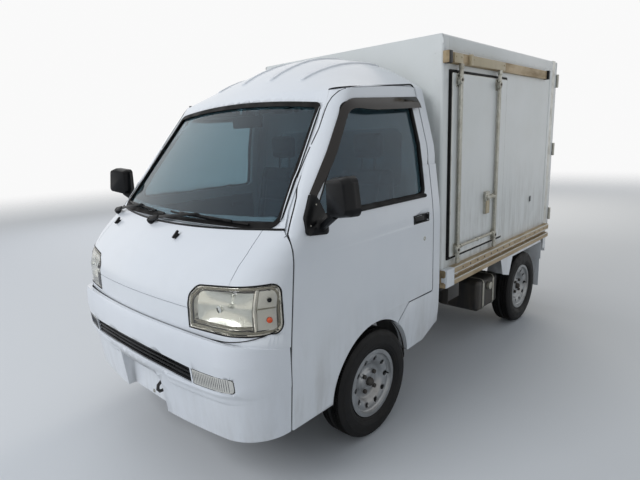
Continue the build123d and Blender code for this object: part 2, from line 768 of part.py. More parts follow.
# Insulated box: floor on the bearers, walls, roof and the frame round the rear doors
wall_rear_y = box_rear_y - rear_door_thick - rear_door_gap
panel_rear_y = wall_rear_y - rear_post
inside_x = box_half_width - box_wall
post_x = inside_x - 26
ceiling_z = box_top_z - box_wall
side_door_rear_y = side_door_front_y + side_door_width
floor_y = box_front_y + box_wall
write("box_floor", block((-inside_x, floor_y, box_bottom_z), (inside_x, panel_rear_y, box_floor_z)))
write("box_front", block((-inside_x, box_front_y, box_bottom_z), (inside_x, floor_y, ceiling_z)))
side_wall = block((inside_x, box_front_y, box_bottom_z), (box_half_width, panel_rear_y, ceiling_z))
front_edge = side_wall.edges().filter_by(Axis.Z).group_by(Axis.X)[-1].sort_by(Axis.Y)[0]
side_wall = fillet(front_edge, box_edge)
hole_low = (inside_x - 20, side_door_front_y + side_door_rim, side_door_bottom_z + side_door_rim)
hole_high = (box_half_width + 20, side_door_rear_y - side_door_rim, side_door_top_z - side_door_rim)
door_hole = block(hole_low, hole_high)
write("box_sides", Compound(children=[side_wall - door_hole, mirrored(side_wall)]))
box_roof = block((-box_half_width, box_front_y, ceiling_z), (box_half_width, panel_rear_y, box_top_z))
box_roof = fillet(box_roof.edges().group_by(Axis.Z)[-1].filter_by(Axis.Y), box_edge)
write("box_roof", box_roof)
rear_frame = block((-box_half_width, panel_rear_y, box_bottom_z), (box_half_width, wall_rear_y, box_top_z))
rear_frame -= block((-post_x, panel_rear_y - 10, box_floor_z), (post_x, wall_rear_y + 10, box_top_z - 70))
write("rear_frame", rear_frame)

# Side door: a plug in the wall under a flat outer leaf, with its dark seal frame
leaf_x = box_half_width + side_door_leaf
plug_low = (inside_x + 4, hole_low[1] + plug_gap, hole_low[2] + plug_gap)
plug_high = (leaf_x, hole_high[1] - plug_gap, hole_high[2] - plug_gap)
leaf_edge = side_door_rim / 2
leaf_low = (leaf_x, side_door_front_y + leaf_edge, side_door_bottom_z + leaf_edge)
leaf_high = (leaf_x + side_door_leaf, side_door_rear_y - leaf_edge, side_door_top_z - leaf_edge)
write("side_door", block(plug_low, plug_high) + block(leaf_low, leaf_high))
seal_low = (box_half_width, side_door_front_y, side_door_bottom_z)
seal = block(seal_low, (leaf_x, side_door_rear_y, side_door_top_z))
write("side_door_seal", seal - door_hole)

# Lock bars on the side door, with cams, a cross tube, a handle plate and hangers on the upper rail
face_x = leaf_x + side_door_leaf
rail_outer = box_half_width + rail_stand
bar_ys = (side_door_front_y + 85, side_door_rear_y - 165)
bars = Part()
for y in bar_ys:
    bar = block((face_x + 8, y - 14, rail_top_z + 22), (face_x + 20, y + 14, upper_rail_z - 30))
    for z in (side_door_bottom_z + 60, side_door_top_z - 60):
        bar += block((face_x, y - 22, z - 20), (face_x + 8, y + 22, z + 20))
        bar += Pos(face_x + 20, y - 20, z) * Rot(0, 90, 0) * Cylinder(20, 14)
    bars += bar
tube_x, tube_z = face_x + 14, side_door_bottom_z + 68
bars += rod((tube_x, bar_ys[0], tube_z), (tube_x, bar_ys[1], tube_z), 9)
handle_plate = block((face_x, bar_ys[1] - 150, 945), (face_x + 16, bar_ys[1] - 90, 1085))
handle_plate += block((face_x, bar_ys[1] - 120, 1040), (face_x + 16, bar_ys[1], 1060))
write("side_door_bars", bars + handle_plate)

# Rails: a channel along each side at floor level, and the door's upper rail with its end stops
rail_rear_y = panel_rear_y + 20
channel = polygon(
    (box_half_width, rail_bottom_z),
    (rail_outer, rail_bottom_z),
    (rail_outer, rail_bottom_z + 26),
    (rail_outer - 8, rail_bottom_z + 34),
    (box_half_width + 10, rail_bottom_z + 34),
    (box_half_width + 10, rail_top_z - 44),
    (rail_outer - 8, rail_top_z - 44),
    (rail_outer, rail_top_z - 36),
    (rail_outer, rail_top_z - 6),
    (rail_outer - 6, rail_top_z),
    (box_half_width, rail_top_z),
)
low_rail = on_front(channel, box_front_y - 6, rail_rear_y)
upper_rail_rear_y = 1380
# Columns: from x, out to x, from y, to y, below and above the rail's middle height
upper_rail_rows = [
    (box_half_width, box_half_width + 22, box_front_y + 30, upper_rail_rear_y - 20, 28, 28),
    (box_half_width, rail_outer, box_front_y - 4, box_front_y + 32, 30, 30),
    (box_half_width, rail_outer, upper_rail_rear_y - 24, upper_rail_rear_y, 30, 30),
    (box_half_width + 20, rail_outer, box_front_y + 50, box_front_y + 150, 26, 20),
    (box_half_width + 20, rail_outer, bar_ys[0] + 110, bar_ys[1] + 60, 26, 20),
]
upper_rail = Part()
for low_x, high_x, low_y, high_y, below, above in upper_rail_rows:
    upper_rail += block((low_x, low_y, upper_rail_z - below), (high_x, high_y, upper_rail_z + above))
write("box_rails", Compound(children=[low_rail, mirrored(low_rail), upper_rail]))

# Rear doors, hung on the box's outer corners, with hinge barrels and lock bars
hinge_x, hinge_y = box_half_width + 4, box_rear_y + 7
rear_door_low = (3, box_rear_y - rear_door_thick, box_bottom_z + 20)
rear_door = block(rear_door_low, (box_half_width - 3, box_rear_y, box_top_z - 6))
for z in (760, 1290, 1820):
    rear_door += rod((hinge_x, hinge_y, z - 45), (hinge_x, hinge_y, z + 45), 8)
    rear_door += block((hinge_x - 110, box_rear_y, z - 20), (hinge_x, box_rear_y + 5, z + 20))
for x in (90, 480):
    lock_y = box_rear_y + 15
    rear_door += rod((x, lock_y, box_bottom_z + 55), (x, lock_y, box_top_z - 42), 10)
    for z in (700, 1000, 1600, 1880):
        rear_door += block((x - 24, box_rear_y, z - 16), (x + 24, box_rear_y + bar_stand, z + 16))
write_pair("rear_door", rear_door)

# Rear fenders: a bent sheet over each tyre with a skirt below the rail, and a rubber flap behind
under_box_z = box_bottom_z - 2
fender_top = [(-225, under_box_z), (250, under_box_z)]
fender_line = Polyline((-308, 440), (-250, 585), *fender_top, (338, 560), (348, 420))
fender_face = Pos(rear_axle_y, 0) * trace(fender_line, fender_sheet)
fender_low_x, fender_high_x = wheel_x - half_tyre - 6, box_half_width + rail_stand - 3
fender = on_side(fender_face, fender_low_x, fender_high_x)
skirt_top = [(322, rail_bottom_z), (-457, rail_bottom_z)]
skirt_face = polygon(*skirt_top, (-413, 469), (-308, 440), (-252, 567), (322, 567))
fender += on_side(Pos(rear_axle_y, 0) * skirt_face, fender_high_x - fender_sheet, fender_high_x)
fender -= block((box_half_width, 0, rail_bottom_z), (800, 1700, 800))
fender -= block((0, 0, box_bottom_z), (800, 1700, 800))
flap_y = rear_axle_y + 348 + fender_sheet / 2
flap = block((fender_low_x + 4, flap_y, 190), (fender_high_x - 10, flap_y + 6, 470))
write("rear_fenders", both_sides(fender + flap))

# Rear apron with two plate holes, and the lamps on it
apron = block((-695, frame_rear_y, 440), (695, frame_rear_y + 6, box_bottom_z - 4))
side_flange = block((689, frame_rear_y - 46, 470), (695, frame_rear_y, box_bottom_z - 4))
apron += side_flange + mirrored(side_flange)
plate_z = 540.0
for x in (-plate_hole_spacing / 2, plate_hole_spacing / 2):
    apron -= Pos(x, frame_rear_y, plate_z) * Rot(90, 0, 0) * Cylinder(plate_hole_radius, 40)
write("rear_apron", apron)
tail_lamp = block((470, frame_rear_y + 6, 488), (672, frame_rear_y + 40, 584))
write("tail_lamps", both_sides(fillet(tail_lamp.edges().group_by(Axis.Y)[-1], 8)))
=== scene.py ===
import json
import math

import bmesh
import bpy
from mathutils import Matrix, Vector

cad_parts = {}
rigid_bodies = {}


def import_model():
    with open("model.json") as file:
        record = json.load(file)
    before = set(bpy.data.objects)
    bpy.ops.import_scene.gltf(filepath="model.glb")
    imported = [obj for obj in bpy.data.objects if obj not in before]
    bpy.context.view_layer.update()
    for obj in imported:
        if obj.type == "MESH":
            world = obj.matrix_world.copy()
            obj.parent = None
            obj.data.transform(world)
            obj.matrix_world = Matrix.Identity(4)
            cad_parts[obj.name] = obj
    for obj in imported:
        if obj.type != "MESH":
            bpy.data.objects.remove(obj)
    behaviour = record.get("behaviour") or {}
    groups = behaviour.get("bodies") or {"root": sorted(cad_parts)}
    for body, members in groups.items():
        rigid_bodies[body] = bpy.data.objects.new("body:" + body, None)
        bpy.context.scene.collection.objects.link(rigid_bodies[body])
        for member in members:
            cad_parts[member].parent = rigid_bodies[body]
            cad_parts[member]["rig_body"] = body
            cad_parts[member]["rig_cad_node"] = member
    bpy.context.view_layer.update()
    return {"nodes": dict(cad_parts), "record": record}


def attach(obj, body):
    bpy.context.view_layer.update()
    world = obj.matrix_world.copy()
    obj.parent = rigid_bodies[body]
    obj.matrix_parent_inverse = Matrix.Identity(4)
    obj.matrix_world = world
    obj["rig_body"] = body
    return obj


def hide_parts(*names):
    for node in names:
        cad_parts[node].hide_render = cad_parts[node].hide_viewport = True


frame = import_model()
nodes = frame["nodes"]
slotOf = {part["node"]: part["material_slot"] for part in frame["record"]["subparts"]}
bodyOf = {node: body for body, members in frame["record"]["behaviour"]["bodies"].items() for node in members}
leftRight = ("left", "right")
toLeft, toRear, toFront, toTop = (1, 0, 0), (0, 1, 0), (0, -1, 0), (0, 0, 1)  # the truck's own ways
print("frame loaded")


def deselectAll():
    if bpy.context.object and bpy.context.object.mode != "OBJECT":
        bpy.ops.object.mode_set(mode="OBJECT")
    bpy.ops.object.select_all(action="DESELECT")


def makeActive(*pieces):
    deselectAll()
    for piece in pieces:
        piece.select_set(True)
    bpy.context.view_layer.objects.active = pieces[0]


def editFaces(piece, test):
    makeActive(piece)
    bpy.ops.object.mode_set(mode="EDIT")
    bpy.ops.mesh.select_mode(type="FACE")
    bpy.ops.mesh.select_all(action="DESELECT")
    shape = bmesh.from_edit_mesh(piece.data)
    for face in shape.faces:
        face.select = test(face)
    shape.select_flush(True)
    bmesh.update_edit_mesh(piece.data)


def leaveEdit():
    bpy.ops.object.mode_set(mode="OBJECT")


def facesOut(piece):
    makeActive(piece)
    bpy.ops.object.mode_set(mode="EDIT")
    bpy.ops.mesh.select_all(action="SELECT")
    bpy.ops.mesh.normals_make_consistent(inside=False)
    leaveEdit()


def applyPlace(piece):
    makeActive(piece)
    bpy.ops.object.transform_apply(location=True, rotation=True, scale=True)


def bevelEdges(piece, width, segments=2, angle=30):
    makeActive(piece)
    rounding = piece.modifiers.new("rounding", "BEVEL")
    rounding.width = width
    rounding.segments = segments
    rounding.limit_method = "ANGLE"
    rounding.angle_limit = math.radians(angle)
    bpy.ops.object.modifier_apply(modifier="rounding")


def named(piece, name):
    piece.name = piece.data.name = name
    return piece


def thickened(piece, thick, offset=-1):
    makeActive(piece)
    sheet = piece.modifiers.new("sheet", "SOLIDIFY")
    sheet.thickness, sheet.offset = thick, offset
    bpy.ops.object.modifier_apply(modifier="sheet")


def grid(name, columns, rows):
    deselectAll()
    bpy.ops.mesh.primitive_grid_add(x_subdivisions=columns, y_subdivisions=rows, size=1)
    return named(bpy.context.object, name)


def block(name, low, high, bevel=0.002, segments=2):
    deselectAll()
    size = [b - a for a, b in zip(low, high)]
    bpy.ops.mesh.primitive_cube_add(size=1, location=[(a + b) / 2 for a, b in zip(low, high)])
    piece = named(bpy.context.object, name)
    piece.scale = size
    applyPlace(piece)
    if bevel:
        bevelEdges(piece, min(bevel, min(size) * 0.4), segments)
    return piece


def rod(name, start, end, radius, sides=20, bevel=0.0015, endRadius=None):
    deselectAll()
    start, end = Vector(start), Vector(end)
    along = end - start
    farRadius = radius if endRadius is None else endRadius
    bpy.ops.mesh.primitive_cone_add(vertices=sides, radius1=radius, radius2=farRadius, depth=along.length,
                                    location=(start + end) / 2)
    piece = named(bpy.context.object, name)
    piece.rotation_euler = along.to_track_quat("Z", "Y").to_euler()
    applyPlace(piece)
    if bevel:
        bevelEdges(piece, min(bevel, radius * 0.4, along.length * 0.3), 2, 40)
    return piece


def turned(name, profile, centre, axis, steps=48):
    deselectAll()
    bpy.ops.mesh.primitive_circle_add(vertices=len(profile), radius=1)
    piece = named(bpy.context.object, name)
    for corner, (along, radius) in zip(piece.data.vertices, profile):
        corner.co = (radius, 0, along)
    bpy.ops.object.mode_set(mode="EDIT")
    bpy.ops.mesh.select_all(action="SELECT")
    bpy.ops.mesh.spin(steps=steps, angle=math.tau, center=(0, 0, 0), axis=(0, 0, 1))
    bpy.ops.mesh.select_all(action="SELECT")
    bpy.ops.mesh.remove_doubles(threshold=0.00001)
    bpy.ops.mesh.normals_make_consistent(inside=False)
    leaveEdit()
    piece.rotation_euler = Vector(axis).to_track_quat("Z", "Y").to_euler()
    piece.location = centre
    applyPlace(piece)
    return piece


def ringProfile(low, high, inner, outer):
    return [(low, inner), (low, outer), (high, outer), (high, inner)]


def joined(name, *pieces):
    makeActive(*pieces)
    bpy.ops.object.join()
    return named(bpy.context.object, name)


def copied(piece, name, move=(0, 0, 0), flip=False, turnDegrees=0, about=(0, 0, 0), axis="Z"):
    twin = piece.copy()
    twin.data = piece.data.copy()
    bpy.context.scene.collection.objects.link(twin)
    named(twin, name)
    place = Matrix.Translation(move)
    if turnDegrees:
        about = Vector(about)
        turn = Matrix.Rotation(math.radians(turnDegrees), 4, axis)
        place = place @ Matrix.Translation(about) @ turn @ Matrix.Translation(-about)
    if flip:
        place = Matrix.Scale(-1, 4, (1, 0, 0)) @ place
    twin.data.transform(place)
    if flip:
        twin.data.flip_normals()
    return twin


def finish(piece, material, body="root", smooth=30):
    makeActive(piece)
    piece.data.materials.clear()
    piece.data.materials.append(material)
    if smooth:
        bpy.ops.object.shade_smooth_by_angle(angle=math.radians(smooth))
    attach(piece, body)
    return piece


def hexColour(code):
    parts = [int(code[i:i + 2], 16) / 255 for i in (1, 3, 5)]
    return tuple(p / 12.92 if p <= 0.04045 else ((p + 0.055) / 1.055) ** 2.4 for p in parts) + (1,)


def addNode(tree, kind, sockets=None, **settings):
    node = tree.nodes.new("ShaderNode" + kind)
    for name, value in settings.items():
        setattr(node, name, value)
    for socket, value in (sockets or {}).items():
        if isinstance(value, bpy.types.NodeSocket):
            tree.links.new(value, node.inputs[socket])
        else:
            node.inputs[socket].default_value = value
    return node


def newMaterial(name):
    material = bpy.data.materials.new(name)
    material.use_nodes = True
    material.node_tree.nodes.clear()
    return material, material.node_tree


def closeMaterial(tree, shader):
    addNode(tree, "OutputMaterial", {"Surface": shader.outputs[0]})


def mixed(tree, share, first, second):
    return addNode(tree, "Mix", {0: share, 6: first, 7: second}, data_type="RGBA").outputs[2]


def noiseMask(tree, coords, sizeMm, low, high, detail=5.0, stretch=None):
    if stretch:
        coords = addNode(tree, "Mapping", {"Vector": coords, "Scale": stretch}).outputs[0]
    noise = addNode(tree, "TexNoise", {"Vector": coords, "Scale": 1000 / sizeMm, "Detail": detail,
                                       "Roughness": 0.6})
    return addNode(tree, "MapRange", {"Value": noise.outputs[0], "From Min": low,
                                      "From Max": high}).outputs[0]


def heightMask(tree, coords, fullZ, noneZ):
    height = addNode(tree, "SeparateXYZ", {0: coords}).outputs[2]
    return addNode(tree, "MapRange", {"Value": height, "From Min": noneZ, "From Max": fullZ}).outputs[0]


def times(tree, first, second):
    return addNode(tree, "Math", {0: first, 1: second}, operation="MULTIPLY").outputs[0]


# Sprayed enamel on pressed steel: a clear smooth coat, faint orange peel, road dust that gathers low down.
def sprayedEnamel(name, look):
    material, tree = newMaterial(name)
    coords = addNode(tree, "TexCoord").outputs["Object"]
    tone = noiseMask(tree, coords, look.get("toneMm", 600), 0.3, 0.7, 3)
    base = mixed(tree, tone, hexColour(look["colour"]), hexColour(look.get("second", look["colour"])))
    streaks = noiseMask(tree, coords, look.get("streakMm", 70), 0.42, 0.75, 6, (1, 1, 0.18))
    low = heightMask(tree, coords, look.get("dirtFullZ", 0.25), look.get("dirtNoneZ", 0.75))
    dirtShare = times(tree, times(tree, streaks, low), look.get("dirt", 0.5))
    spread = times(tree, noiseMask(tree, coords, 260, 0.5, 0.78, 7), look.get("film", 0.12))
    base = mixed(tree, dirtShare, base, hexColour(look.get("dirtColour", "#8a8272")))
    base = mixed(tree, spread, base, hexColour(look.get("filmColour", "#b3b1a8")))
    if look.get("rust"):
        spots = noiseMask(tree, coords, look.get("rustMm", 22), 0.68, 0.74, 8)
        base = mixed(tree, times(tree, spots, look["rust"]), base, hexColour("#6b3b1e"))
    dull = addNode(tree, "MapRange", {"Value": dirtShare, "To Min": look.get("roughness", 0.28),
                                      "To Max": 0.7}).outputs[0]
    peel = addNode(tree, "TexNoise", {"Vector": coords, "Scale": 1000 / look.get("peelMm", 4), "Detail": 2.0})
    bump = addNode(tree, "Bump", {"Height": peel.outputs[0], "Strength": look.get("bump", 0.03),
                                  "Distance": 0.001})
    shader = addNode(tree, "BsdfPrincipled", {"Base Color": base, "Roughness": dull,
                                              "Normal": bump.outputs[0],
                                              "Metallic": look.get("metallic", 0.0),
                                              "Coat Weight": look.get("coat", 0.4), "Coat Roughness": 0.18})
    closeMaterial(tree, shader)
    return material


# Injection-moulded plastic: even colour, a fine leather-like grain, greyed where the sun and dust reach.
def mouldedPlastic(name, look):
    material, tree = newMaterial(name)
    coords = addNode(tree, "TexCoord").outputs["Object"]
    fade = noiseMask(tree, coords, 120, 0.4, 0.8)
    base = mixed(tree, times(tree, fade, look.get("fade", 0.5)), hexColour(look["colour"]),
                 hexColour(look["faded"]))
    grain = addNode(tree, "TexVoronoi", {"Vector": coords, "Scale": 1000 / look.get("grainMm", 1.6)})
    bump = addNode(tree, "Bump", {"Height": grain.outputs[0], "Strength": look.get("bump", 0.15),
                                  "Distance": 0.0006})
    rough = addNode(tree, "MapRange", {"Value": fade, "To Min": look["roughness"] - 0.06,
                                       "To Max": look["roughness"] + 0.1})
    shader = addNode(tree, "BsdfPrincipled", {"Base Color": base, "Roughness": rough.outputs[0],
                                              "Normal": bump.outputs[0], "IOR": 1.49,
                                              "Metallic": look.get("metallic", 0.0),
                                              "Specular IOR Level": look.get("specular", 0.5)})
    closeMaterial(tree, shader)
    return material


# Bare or zinc-coated metal left outdoors: spangle or brushing in two greys, and brown stains.
def weatheredMetal(name, look):
    material, tree = newMaterial(name)
    coords = addNode(tree, "TexCoord").outputs["Object"]
    cells = addNode(tree, "TexVoronoi", {"Vector": coords, "Scale": 1000 / look.get("spangleMm", 9)})
    cellTone = addNode(tree, "SeparateColor", {0: cells.outputs["Color"]}).outputs[0]
    base = mixed(tree, times(tree, cellTone, look.get("spangle", 0.5)), hexColour(look["colour"]),
                 hexColour(look["second"]))
    stain = noiseMask(tree, coords, look.get("stainMm", 60), 0.45, 0.7, 7, look.get("stretch", (1, 1, 1)))
    stainShare = times(tree, stain, look.get("stain", 0.5))
    base = mixed(tree, stainShare, base, hexColour(look.get("stainColour", "#7b6347")))
    rough = addNode(tree, "MapRange", {"Value": stain, "To Min": look["roughness"],
                                       "To Max": look["roughness"] + 0.3}).outputs[0]
    metal = addNode(tree, "MapRange", {"Value": stainShare, "To Min": look.get("metallic", 0.9),
                                       "To Max": 0.2}).outputs[0]
    scratch = addNode(tree, "Mapping", {"Vector": coords, "Scale": look.get("brush", (1, 1, 1))}).outputs[0]
    lines = addNode(tree, "TexNoise", {"Vector": scratch, "Scale": 1000 / 2.5, "Detail": 4.0})
    bump = addNode(tree, "Bump", {"Height": lines.outputs[0], "Strength": look.get("bump", 0.08),
                                  "Distance": 0.0006})
    shader = addNode(tree, "BsdfPrincipled", {"Base Color": base, "Roughness": rough, "Metallic": metal,
                                              "Normal": bump.outputs[0]})
    closeMaterial(tree, shader)
    return material


# Vulcanised rubber: near black, a dry bloom in patches on the surface.
def agedRubber(name, look):
    material, tree = newMaterial(name)
    coords = addNode(tree, "TexCoord").outputs["Object"]
    bloom = noiseMask(tree, coords, look.get("bloomMm", 60), 0.4, 0.75, 6)
    base = mixed(tree, times(tree, bloom, look.get("bloom", 0.5)), hexColour(look["colour"]),
                 hexColour(look["second"]))
    grain = addNode(tree, "TexNoise", {"Vector": coords, "Scale": 1000 / look.get("grainMm", 1.5),
                                       "Detail": 5.0})
    bump = addNode(tree, "Bump", {"Height": grain.outputs[0], "Strength": look.get("bump", 0.25),
                                  "Distance": 0.0005})
    rough = addNode(tree, "MapRange", {"Value": bloom, "To Min": 0.5, "To Max": 0.85}).outputs[0]
    shader = addNode(tree, "BsdfPrincipled", {"Base Color": base, "Roughness": rough,
                                              "Normal": bump.outputs[0], "IOR": 1.52,
                                              "Specular IOR Level": look.get("specular", 0.2)})
    closeMaterial(tree, shader)
    return material


# Safety glass and moulded lens plastic: a clear body with a faint film of dust.
def clearGlass(name, look):
    material, tree = newMaterial(name)
    coords = addNode(tree, "TexCoord").outputs["Object"]
    film = noiseMask(tree, coords, 90, 0.45, 0.8, 6)
    dusty = look["roughness"] + look.get("film", 0.02)
    rough = addNode(tree, "MapRange", {"Value": film, "To Min": look["roughness"], "To Max": dusty})
    sockets = {"Base Color": hexColour(look["colour"]), "Roughness": rough.outputs[0],
               "IOR": look.get("ior", 1.5), "Transmission Weight": 1.0,
               "Specular Tint": hexColour(look.get("specularTint", "#ffffff"))}
    closeMaterial(tree, addNode(tree, "BsdfPrincipled", sockets))
    return material


# Woven seat cloth: threads 1.26 mm apart that cross, worn paler in patches.
def wovenCloth(name, look):
    material, tree = newMaterial(name)
    coords = addNode(tree, "TexCoord").outputs["Object"]
    bands = 1000 / look["threadMm"] * math.tau / 20  # at scale 1 the node draws a band each tau / 20 metres
    warp = addNode(tree, "TexWave", {"Vector": coords, "Scale": bands}, bands_direction="X").outputs[1]
    weft = addNode(tree, "TexWave", {"Vector": coords, "Scale": bands}, bands_direction="Y").outputs[1]
    weftUp = addNode(tree, "TexWave", {"Vector": coords, "Scale": bands}, bands_direction="Z").outputs[1]
    cross = addNode(tree, "Math", {0: weft, 1: weftUp}, operation="ADD").outputs[0]
    weave = times(tree, warp, cross)
    wear = noiseMask(tree, coords, 180, 0.35, 0.75)
    base = mixed(tree, weave, hexColour(look["colour"]), hexColour(look["second"]))
    base = mixed(tree, times(tree, wear, 0.3), base, hexColour(look["worn"]))
    bump = addNode(tree, "Bump", {"Height": weave, "Strength": 0.4, "Distance": 0.001})
    shader = addNode(tree, "BsdfPrincipled", {"Base Color": base, "Roughness": 0.9, "Normal": bump.outputs[0],
                                              "Sheen Weight": 0.3})
    closeMaterial(tree, shader)
    return material


bodyPaint = sprayedEnamel("whiteBodyEnamel", {"colour": "#e9ebec", "second": "#e2e5e7", "dirt": 0.45,
                                              "film": 0.08})
bumperPaint = sprayedEnamel("whitePaintedBumperPlastic",
                            {"colour": "#e8eaec", "second": "#dfe2e5", "dirt": 0.3, "film": 0.1,
                             "dirtNoneZ": 0.6, "bump": 0.05, "coat": 0.25})
boxPaint = sprayedEnamel("whiteGelcoatPanel", {"colour": "#e6e7e3", "second": "#dddfda", "dirt": 0.55,
                                               "film": 0.16, "coat": 0.15, "dirtFullZ": 0.6, "dirtNoneZ": 1.3,
                                               "streakMm": 40, "roughness": 0.36, "peelMm": 12, "bump": 0.06,
                                               "filmColour": "#c3bfae"})
wheelPaint = sprayedEnamel("silverWheelEnamel",
                           {"colour": "#a5a7a8", "second": "#8f9192", "metallic": 0.55, "dirt": 0.0,
                            "film": 0.55, "filmColour": "#6e6254", "rust": 0.7, "rustMm": 14,
                            "roughness": 0.38, "toneMm": 60, "coat": 0.1})
chassisPaint = sprayedEnamel("blackChassisEnamel",
                             {"colour": "#1c1c1d", "second": "#262524", "dirt": 0.7, "dirtFullZ": 0.1,
                              "dirtNoneZ": 0.9, "dirtColour": "#5d5446", "film": 0.35,
                              "filmColour": "#443d34", "rust": 0.4, "roughness": 0.5,
                              "coat": 0.0, "bump": 0.2})
blackPlastic = mouldedPlastic("blackMouldedPlastic",
                              {"colour": "#07080a", "faded": "#101216", "roughness": 0.4, "specular": 0.22})
greyPlastic = mouldedPlastic("greyDashboardPlastic",
                             {"colour": "#3a3c3e", "faded": "#454746", "roughness": 0.6})
rubberSeal = agedRubber("blackRubberSeal", {"colour": "#050506", "second": "#111112"})
tyreRubber = agedRubber("tyreRubber", {"colour": "#101011", "second": "#33312e", "bloom": 0.45, "bump": 0.35})
glassClear = clearGlass("greenTintedSafetyGlass",
                        {"colour": "#93a9b1", "roughness": 0.0, "specularTint": "#b4cbe4"})
lensClear = clearGlass("clearLensPlastic", {"colour": "#fbfaf5", "roughness": 0.01, "film": 0.04, "ior": 1.4})
lampShell = mouldedPlastic("silveredLampShell",
                           {"colour": "#dedcd4", "faded": "#c9c5b9", "roughness": 0.2, "bump": 0.02,
                            "metallic": 0.6})
tailLens = mouldedPlastic("redLensPlastic", {"colour": "#8f1510", "faded": "#7a1c17", "roughness": 0.15,
                                             "bump": 0.02, "fade": 0.3})
zincSteel = weatheredMetal("galvanisedSteel", {"colour": "#b9b8ae", "second": "#8f8e85", "roughness": 0.42,
                                               "stain": 0.35, "stainColour": "#93805f", "metallic": 0.7})
railMetal = weatheredMetal("tanWeatheredAluminium",
                           {"colour": "#b5a283", "second": "#9f8c6c", "roughness": 0.5, "stain": 0.55,
                            "stainColour": "#76603f", "metallic": 0.35, "spangleMm": 30, "spangle": 0.3,
                            "stretch": (1, 0.25, 1)})
trimMetal = weatheredMetal("anodisedCornerTrim",
                           {"colour": "#cfcfc9", "second": "#bcbcb4", "roughness": 0.4, "stain": 0.25,
                            "metallic": 0.6, "spangleMm": 40, "spangle": 0.3, "brush": (1, 1, 0.05)})
bareSteel = weatheredMetal("springSteel", {"colour": "#57524b", "second": "#474039", "roughness": 0.55,
                                           "stain": 0.7, "stainColour": "#4a2c1a", "metallic": 0.7})
castIron = weatheredMetal("castIron", {"colour": "#4a4845", "second": "#3c3a38", "roughness": 0.65,
                                       "stain": 0.6, "stainColour": "#3d2c20", "metallic": 0.6, "bump": 0.4})
exhaustSteel = weatheredMetal("aluminisedExhaustSteel",
                              {"colour": "#86817a", "second": "#756f66", "roughness": 0.5, "stain": 0.75,
                               "stainColour": "#5c3820", "metallic": 0.7})
seatCloth = wovenCloth("wovenSeatCloth", {"colour": "#43464b", "second": "#303338", "worn": "#54565a",
                                          "threadMm": 1.2566})

materialOf = {"body_paint": bodyPaint, "bumper_paint": bumperPaint, "black_plastic": blackPlastic,
              "rubber_seal": rubberSeal, "clear_glass": glassClear, "lamp_glass": lensClear,
              "lamp_shell": lampShell, "tail_lamp_glass": tailLens, "grey_plastic": greyPlastic,
              "seat_fabric": seatCloth, "black_steel": chassisPaint, "cast_metal": castIron,
              "spring_steel": bareSteel, "exhaust_steel": exhaustSteel, "box_panel": boxPaint,
              "box_trim": trimMetal, "rail_metal": railMetal, "galvanised": zincSteel,
              "wheel_steel": wheelPaint, "tyre_rubber": tyreRubber}
for nodeName, nodeObject in nodes.items():
    nodeObject.data.materials.clear()
    nodeObject.data.materials.append(materialOf[slotOf[nodeName]])
print("materials made")

# Curved panels: a copy of each CAD mesh is merged and shaded smooth, and stands for its node.
shellLook = {"mergeMm": 0.02, "angle": 34}
flatNodes = ("box_floor", "box_front", "side_door", "side_door_seal", "rear_apron", "windscreen_seal")
for nodeName, nodeObject in list(nodes.items()):
    if nodeName in flatNodes or nodeName.startswith(("tyre_", "seats", "wipers")):
        continue
    words = nodeName.split("_")
    shell = nodeObject.copy()
    shell.data = nodeObject.data.copy()
    shell.parent = None
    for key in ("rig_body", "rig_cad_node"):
        del shell[key]
    bpy.context.scene.collection.objects.link(shell)
    named(shell, words[0] + "".join(word.capitalize() for word in words[1:]) + "Shell")
    makeActive(shell)
    bpy.ops.object.mode_set(mode="EDIT")
    bpy.ops.mesh.select_all(action="SELECT")
    bpy.ops.mesh.remove_doubles(threshold=shellLook["mergeMm"] / 1000)
    leaveEdit()
    finish(shell, materialOf[slotOf[nodeName]], bodyOf[nodeName], shellLook["angle"])
    weighted = shell.modifiers.new("areaNormals", "WEIGHTED_NORMAL")
    weighted.keep_sharp, weighted.weight = True, 100
    makeActive(shell)
    bpy.ops.object.modifier_apply(modifier="areaNormals")
    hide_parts(nodeName)
print("shells smoothed")

# The cab's outline in plan: height, half width, set back of the foremost point, corner radius
noseRows = [(0.295, .714, .006, .190), (0.5, .733, 0, .2), (0.62, .737, 0, .2), (0.85, .737, .006, .196),
            (0.91, .737, .024, .188), (0.955, .737, .055, .178), (1.0, .737, .094, .16),
            (1.05, .735, .152, .13), (1.115, .729, .24, .08), (1.4, .693, .471, .076),
            (1.69, .618, .705, .072), (1.92, .536, .891, .068)]
bumperRows = [(0.303, .716, .046, .2), (0.5, .733, .026, .212), (0.518, .736, .01, .214),
              (0.56, .737, .008, .215), (0.64, .738, 0, .215), (0.7, .738, .002, .215),
              (0.73, .738, .01, .212), (0.8, .737, .04, .205)]
plan = {"noseY": -1.642, "bumperY": -1.682, "bow": 3.0}
# How the nose's copies are shaded from the outline: step, nearness, half width and least facing
noseShade = {"reach": 0.014, "near": 0.002, "half": 0.66, "facing": -0.45}


def planAt(rows, z):
    for low, high in zip(rows, rows[1:]):
        if z <= high[0]:
            break
    share = min(max((z - low[0]) / (high[0] - low[0]), 0), 1)
    return [a + share * (b - a) for a, b in zip(low[1:], high[1:])]


def cornerAt(z, rows=noseRows, foremost=plan["noseY"]):
    half, back, corner = planAt(rows, z)
    cornerX = half - corner
    cornerY = foremost + back + plan["bow"] - math.sqrt((plan["bow"] - corner) ** 2 - cornerX ** 2)
    return half, back, corner, cornerX, cornerY


